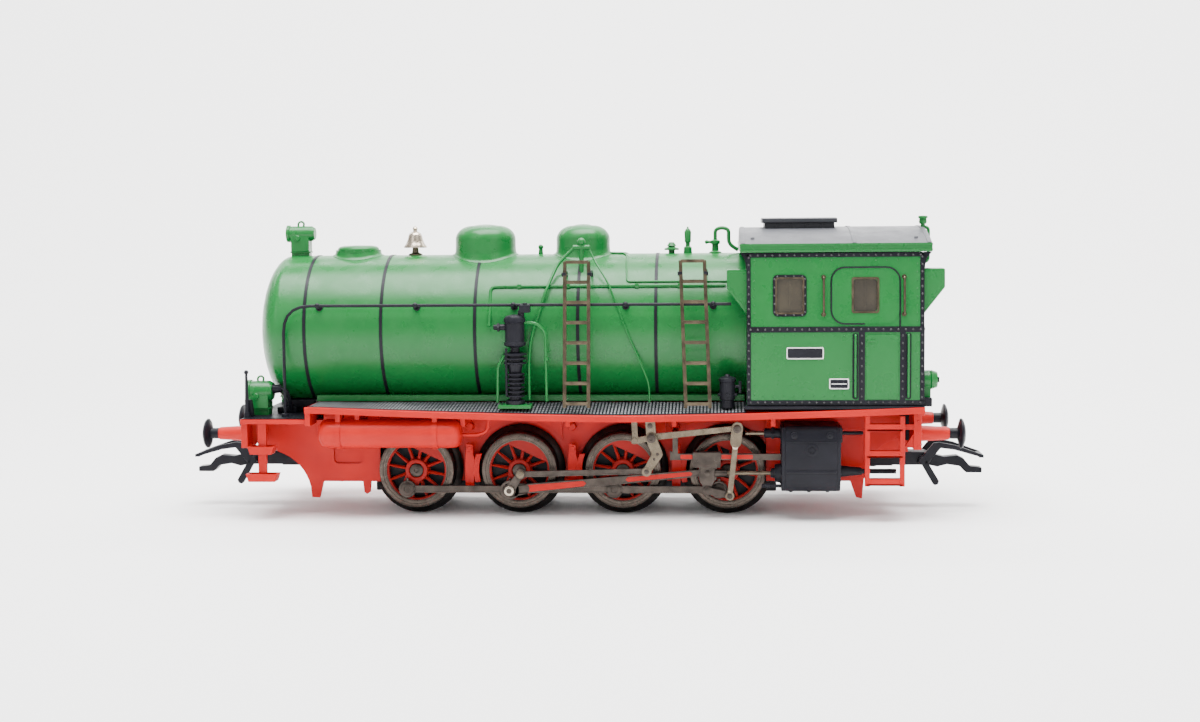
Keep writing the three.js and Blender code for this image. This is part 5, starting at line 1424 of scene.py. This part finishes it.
    panes = Shape()
    for s in (-1, 1):
        for a, b, c, d in WINDOWS:
            panes.add(prism(rounded(a - 0.1, b + 0.1, c - 0.1, d + 0.1, 0.5), s * (CAB_HALF - 0.55),
                            s * (CAB_HALF - 0.3)), 0.03, warp=lean)
            panes.add(block((a + b) / 2 - 0.16, (a + b) / 2 + 0.16, s * (CAB_HALF - 0.3),
                            s * (CAB_HALF - 0.22), c, d), 0.02, warp=lean)
    for s in (-1, 1):
        panes.add(prism(rounded(s * 4.1 if s > 0 else -9.5, s * 9.5 if s > 0 else -4.1, 30.9, 37.1, 0.6),
                        x1 - 0.5, x1 - 0.3, "X"))
    panes.piece("cab_panes", GLASS, "glazing", replaces=("cab_glazing",))
    inside = Shape()
    inside.add(block(x0 + 1.2, x0 + 6, -8, 8, 20, 33), 0.5)
    inside.add(lathe([(0, x0 + 6), (5.6, x0 + 6), (5.2, x0 + 6.5), (0, x0 + 6.6)], (0, 0, 27), "X", 48))
    inside.add(block(x0 + 1, x1 - 1, -13.9, 13.9, 19.5, 20.2), 0.1)
    inside.piece("cab_backhead", CREAM, "gear_brass")


def roof():
    x0, x1 = low("cab_roof").x, high("cab_roof").x
    half, side_z, rise = 14.6, 41.62, 2.35
    arch = [(y, side_z + rise * (1 - (y / half) ** 2)) for y in (half - i * half / 16 for i in range(33))]
    grey = Shape()
    grey.add(prism([(-half, side_z - 0.3), (half, side_z - 0.3), *arch], x0 + 0.05, x1 - 0.05, "X"), 0.06)
    for x in (x0 + 0.5, x1 - 0.5, 41.5):
        lip = [(y, z + 0.1) for y, z in arch]
        grey.add(prism([(-half - 0.02, side_z - 0.1), (half + 0.02, side_z - 0.1), *lip], x - 0.28,
                       x + 0.28, "X"), 0.04)
    for s in (-1, 1):
        for x in (x0 + 1.9, x1 - 2.2):
            y = s * 12.4
            z = side_z + rise * (1 - (y / half) ** 2)
            grey.add(rod((x, y, z - 0.3), (x, y, z + 0.28), 0.34, 0.28, chamfer=0.06))
    grey.piece("roof_shell", ROOF, "roof_grey", replaces=("cab_roof",))
    dark = Shape()
    section = [(-4.3, 43.4), (4.3, 43.4), (4.3, 44.75), (-4.3, 44.75)]
    dark.add(prism(section, 28.5, 39.2, "X"), 0.1)
    top = high("cab_roof").z
    lid = [(-4.9, 44.7), (-4.75, 44.6), (4.75, 44.6), (4.9, 44.7), (4.85, top - 0.12), (2.5, top),
           (-2.5, top), (-4.85, top - 0.12)]
    dark.add(prism(lid, 28.1, 39.6, "X"), 0.08)
    for x in (30.3, 32.5, 34.9, 37.2):
        dark.add(block(x - 0.16, x + 0.16, -4.42, 4.42, 43.6, 44.6), 0.04)
    dark.piece("roof_vent", VENT, "black_plastic")
    whistle = Shape()
    x, y = x1 + 0.25, -4.0
    whistle.add(rod((x - 0.5, y, 43.6), (x - 0.5, y, 44.5), 0.34))
    whistle.add(lathe([(0, 44.3), (0.5, 44.3), (0.62, 44.6), (0.55, 45.1), (0.75, 45.2), (0.7, 45.5),
                       (0, 45.6)], (x - 0.5, y, 0), sides=20))
    whistle.add(pipe([(x - 0.5, y, 43.9), (x + 0.35, y, 43.7), (x + 0.35, y, 38.6), (x - 1.5, y, 38.2)],
                     0.26, 0.6))
    whistle.piece("roof_whistle", GREEN, "green_paint")


# ---------- fittings on the running board ----------
def air_pump():
    x, y = -9.3, -13.6
    base = low("air_pump").z
    made = Shape()
    for dx in (-2.0, 2.0):
        made.add(rivet((x + dx + 0.05, y - 0.9, 17.65), (0, 0, 1), 0.24))
    profile = [(0, 17.4), (1.3, 17.4), (1.45, 17.7), (1.45, 18.2), (0.9, 18.4), (0.9, 18.6)]
    for first, count, r in ((18.7, 6, 1.42), (23.7, 3, 1.72)):
        for i in range(count):
            z = first + i * 0.66
            profile += [(r - 0.5, z), (r, z + 0.1), (r, z + 0.32), (r - 0.5, z + 0.42)]
        profile.append((0.95, z + 0.5))
    profile += [(0.7, 25.6), (0.7, 26.3), (1.35, 26.4), (1.65, 26.6), (1.65, 27.0), (1.48, 27.1),
                (1.48, 30.0), (1.65, 30.1), (1.65, 30.6), (1.35, 31.0), (0.5, 31.2), (0, 31.2)]
    made.add(lathe(profile, (x, y, 0), sides=40))
    for i in range(8):
        turn = i * math.tau / 8
        for z in (30.62, 26.62):
            made.add(rivet((x + 1.4 * math.cos(turn), y + 1.4 * math.sin(turn), z), (0, 0, 1), 0.17))
    made.add(block(-8.55, -6.9, y - 0.75, y + 0.75, 31.5, 32.7), 0.15)
    made.add(rod((-8.3, y, 30.9), (-8.3, y, 31.8), 0.5))
    made.add(rod((-7.7, y, 32.6), (-7.7, y, 32.98), 0.34, chamfer=0.05))
    made.add(rod((-10.6, y, 29.3), (-12.5, y, 29.3), 0.5, 0.42, 20, 0.06))
    made.add(rod((-11.6, y, 29.3), (-11.9, y, 29.3), 0.72, sides=6))
    made.add(rod((x - 1.2, y - 1.0, 26.2), (x - 1.2, y - 1.0, 19.0), 0.2, sides=10))
    made.add(block(x - 1.2, x + 1.2, y + 1.2, y + 2.6, 27.4, 28.2),
             0.08).add(block(x - 1.2, x + 1.2, y + 1.2, y + 2.0, 21.0, 21.8), 0.08)
    made.piece("air_pump_cast", BLACK, "black_plastic", replaces=("air_pump",))
    pipes = Shape()
    pipes.add(pipe([(x + 1.2, y, 30.0), (x + 3.2, y, 30.0), (x + 4.6, y + 0.5, 28.6),
                    (x + 4.7, y + 0.6, 18.0)], 0.22, 1.0))
    pipes.add(rod((x + 4.7, y + 0.58, 24.2), (x + 4.7, y + 0.58, 24.7), 0.36))
    pipes.add(block(-11.8, -6.8, y - 1.5, y + 1.2, base, 17.65), 0.12)
    pipes.add(pipe([(x - 1.3, y + 0.3, 25.4), (x - 2.6, y + 0.3, 23.4), (x - 2.8, y + 0.6, 17.8)], 0.24,
                   0.6))
    pipes.piece("pump_pipes", GREEN, "green_paint")


def lubricators():
    made = Shape()
    for s in (-1, 1):
        y = s * 12.9
        base = BOARD_TOP - 0.5
        made.add(lathe([(0, base), (1.0, base), (1.0, 18.2), (1.18, 18.3), (1.18, 20.9), (1.3, 21.0),
                        (1.3, 21.4), (1.0, 21.6), (0.5, 21.75), (0.3, 22.05), (0, 22.07)], (22.7, y, 0),
                       sides=36))
        for i in range(3):
            turn = math.radians(200 + i * 70) * -s
            made.add(rod((22.7 + 1.1 * math.cos(turn), y + 1.1 * math.sin(turn), 19.0),
                         (22.7 + 1.55 * math.cos(turn), y + 1.55 * math.sin(turn), 19.0), 0.22))
        made.add(rod((23.8, y, 20.2), (24.7, y, 20.2), 0.25)).add(block(24.4, 24.8, y - 0.3, y + 0.3,
                                                                        19.2, 21.0), 0.05)
    made.piece("lubricators", BLACK, "black_plastic")


def ladders():
    for node in ("ladder_front", "ladder_rear"):
        lo, hi = low(node), high(node)
        z0, z1 = lo.z + 0.1, hi.z - 0.1
        y0, y1 = -15.3, -12.4
        half = 2.05
        shift = 0.0 if hi.x - lo.x < 4.4 else -(hi.x - lo.x - 2 * half)
        mid0 = hi.x - half if shift else (lo.x + hi.x) / 2
        for s in (-1, 1):
            made = Shape()

            def place(x, t):
                return (mid0 + shift * t + x, -s * (y0 + (y1 - y0) * t), z0 + (z1 - z0) * t)

            for side in (-1, 1):
                a, b = Vector(place(side * (half - 0.25), 0)), Vector(place(side * (half - 0.25), 1))
                bar = block(-0.27, 0.27, -0.2, 0.2, 0, (b - a).length)
                slope = Matrix.Translation(a) @ Matrix.Rotation(math.atan2((b - a).y, (b - a).z), 4,
                                                                Vector((-1, 0, 0)))
                tilt = Matrix.Rotation(math.atan2((b - a).x, (b - a).z), 4, "Y")
                bar.transform(slope @ tilt)
                made.add(bar, 0.05)
            for i in range(8):
                t = 0.03 + 0.965 * i / 7
                a, b = Vector(place(-half + 0.3, t)), Vector(place(half - 0.3, t))
                made.add(block(a.x, b.x, a.y - 0.2, a.y + 0.2, a.z - 0.26, a.z + 0.26), 0.05)
            made.piece(f"{node}_{'left' if s < 0 else 'right'}", BRONZED, "etched_nickel",
                       replaces=(node,) if s < 0 else ())
            hooks = Shape()
            for side in (-1, 1):
                a = Vector(place(side * (half - 0.1), 0.91))
                hooks.add(pipe([(a.x, a.y - s * 0.05, a.z), (a.x, a.y - s * 0.5, a.z + 0.5),
                                (a.x, s * 8.3, a.z + 0.3), (a.x, s * 8.0, a.z - 0.4)], 0.22, 0.4))
                hooks.add(block(a.x - 0.35, a.x + 0.35, a.y - 0.22, a.y + 0.22, a.z - 0.3, a.z + 0.3),
                          0.06)
            hooks.piece(f"{node}_hooks_{'left' if s < 0 else 'right'}", BLACK, "black_plastic")


# ---------- couplers ----------
def couplers():
    for end, sx in (("front", -1), ("rear", 1)):
        head = Shape()
        shank = [(sx * x, z) for x, z in ((43.6, 6.7), (54.0, 6.7), (54.0, 8.8), (43.6, 8.8))]
        head.add(prism(shank, -1.85, 1.85), 0.25)
        head.add(prism([(sx * x, z) for x, z in ((44.5, 6.55), (48.5, 6.55), (48.5, 8.85), (44.5, 8.85))],
                       -1.6, 1.6), 0.1)
        hook = [(53.8, 6.7), (55.5, 6.3), (57.0, 6.7), (59.0, 6.4), (59.6, 5.7), (60.0, 5.4), (62.4, 5.4),
                (62.4, 6.2), (60.6, 6.4),
                (59.6, 7.6), (58.6, 8.1), (56.5, 7.9), (53.8, 8.6)]
        head.add(prism([(sx * x, z) for x, z in hook], -1, 1), 0.15)
        head.add(rod((sx * 53, -2.05, 7.5), (sx * 53, 2.05, 7.5), 0.75, sides=24, chamfer=0.08))
        head.piece(f"coupler_head_{end}_moulded", BLACK, "black_plastic", f"coupler_head_{end}",
                   replaces=(f"coupler_head_{end}",))
        loop = Shape()
        arm = [(52.3, 7.2), (53.2, 6.9), (53.9, 7.1), (55.8, 9.5), (58.0, 9.2), (62.4, 7.95),
               (62.45, 8.4), (58.2, 9.9), (55.6, 10.4), (54.7, 10.3), (52.9, 8.1)]
        for s in (-1, 1):
            loop.add(prism([(sx * x, z) for x, z in arm], s * 2.15, s * 2.75), 0.1)
            loop.add(rod((sx * 53, s * 2.0, 7.5), (sx * 53, s * 2.8, 7.5), 0.6, sides=20, chamfer=0.08))
        loop.add(block(min(sx * 61.7, sx * 62.45), max(sx * 61.7, sx * 62.45), -2.6, 2.6, 7.98, 8.42),
                 0.1)
        tail = [(52.6, 7.4), (53.6, 7.7), (55.6, 4.3), (55.4, 3.8), (54.9, 3.65), (54.6, 3.9)]
        loop.add(prism([(sx * x, z) for x, z in tail], -2.75, -2.15), 0.08)
        loop.piece(f"coupler_loop_{end}_moulded", BLACK, "black_plastic", f"coupler_loop_{end}",
                   replaces=(f"coupler_loop_{end}",))


def motor():
    node = "motor"
    frame["nodes"][node].data.materials.clear()
    frame["nodes"][node].data.materials.append(CAN)


# ---------- the whole engine ----------
tank()
dome("front_dome", 4.75)
dome("rear_dome", 4.2)
bell()
lamp("top_lamp_turned", "top_lamp", -47.2, -42.7, 0, 43.5, 1.35, 39.6, -1)
for side, s in SIDES.items():
    lamp(f"front_lamp_{side}_turned", f"front_lamp_{side}", -51.5, -47.6, s * 9.5, 19.3, 1.75,
         DECK_TOP - 0.03, -1)
tank_fittings()
handrails()
running_board()
front_end()
rear_end()
chassis()
air_tanks()
axles()
for side in SIDES:
    for axle in range(4):
        wheel(side, axle)
    coupling_rods(side)
    main_rod(side)
    return_crank(side)
    eccentric_rod(side)
    expansion_link(side)
    combination_lever(side)
    crosshead(side)
    motion_bracket(side)
    cylinder(side)
cab()
roof()
air_pump()
lubricators()
ladders()
couplers()
motor()


# ---------- floor, light and camera ----------
def stage():
    made = Nodes("pale floor")
    made.link(made.blend(made.noise(3, 2), (0.80, 0.795, 0.79), (0.83, 0.825, 0.82)),
              made.shader.inputs["Base Color"])
    made.shader.inputs["Roughness"].default_value = 0.75
    mesh = bpy.data.meshes.new("floor")
    near, far, wide, rise = -0.8, 0.5, 1.6, 1.0
    rows = [(near, 0.0), (far, 0.0)]
    rows += [(far + 0.3 * math.sin(t), 0.3 - 0.3 * math.cos(t))
             for t in (math.radians(9 * i) for i in range(1, 11))]
    rows += [(far + 0.3, rise)]
    verts = [(x, y, z) for y, z in rows for x in (-wide, wide)]
    faces = [(2 * i, 2 * i + 1, 2 * i + 3, 2 * i + 2) for i in range(len(rows) - 1)]
    mesh.from_pydata(verts, [], faces)
    mesh.materials.append(made.material)
    floor = bpy.data.objects.new("floor", mesh)
    bpy.context.scene.collection.objects.link(floor)
    for face in mesh.polygons:
        face.use_smooth = True


def area_light(name, place, aim, size, power, colour=(1, 1, 1)):
    light = bpy.data.lights.new(name, "AREA")
    light.shape = "RECTANGLE"
    light.size, light.size_y = size
    light.energy = power
    light.color = colour
    made = bpy.data.objects.new(name, light)
    made.location = place
    made.rotation_euler = (Vector(aim) - Vector(place)).to_track_quat("-Z", "Y").to_euler()
    bpy.context.scene.collection.objects.link(made)


def lights():
    world = bpy.data.worlds.new("studio")
    world.use_nodes = True
    world.node_tree.nodes["Background"].inputs["Color"].default_value = (0.97, 0.98, 1.0, 1)
    world.node_tree.nodes["Background"].inputs["Strength"].default_value = 0.66
    bpy.context.scene.world = world
    area_light("top", (0.02, -0.05, 0.42), (0, 0, 0.02), (0.45, 0.3), 9.0)
    area_light("front_left", (-0.32, -0.42, 0.28), (0, 0, 0.02), (0.3, 0.3), 0.7)
    area_light("front_right", (0.34, -0.40, 0.22), (0.02, 0, 0.02), (0.3, 0.3), 0.55)
    area_light("backdrop", (0, 0.42, 0.55), (0, 0.75, 0.05), (1.8, 0.3), 24)


def camera():
    data = bpy.data.cameras.new("camera")
    data.sensor_width = 36
    data.lens = 51.8625
    data.clip_start, data.clip_end = 0.01, 10
    made = bpy.data.objects.new("camera", data)
    yaw, pitch, roll = 0.07049, 0.08386, -0.00871
    forward = Vector((-math.sin(yaw) * math.cos(pitch), math.cos(yaw) * math.cos(pitch),
                      -math.sin(pitch)))
    level = Vector((math.cos(yaw), math.sin(yaw), 0))
    upright = level.cross(forward)
    right = math.cos(roll) * level + math.sin(roll) * upright
    up = -math.sin(roll) * level + math.cos(roll) * upright
    turn = Matrix((right, up, -forward)).transposed()
    made.matrix_world = Matrix.Translation((0.02185, -0.2724, 0.04596)) @ turn.to_4x4()
    bpy.context.scene.collection.objects.link(made)
    bpy.context.scene.camera = made


stage()
lights()
camera()
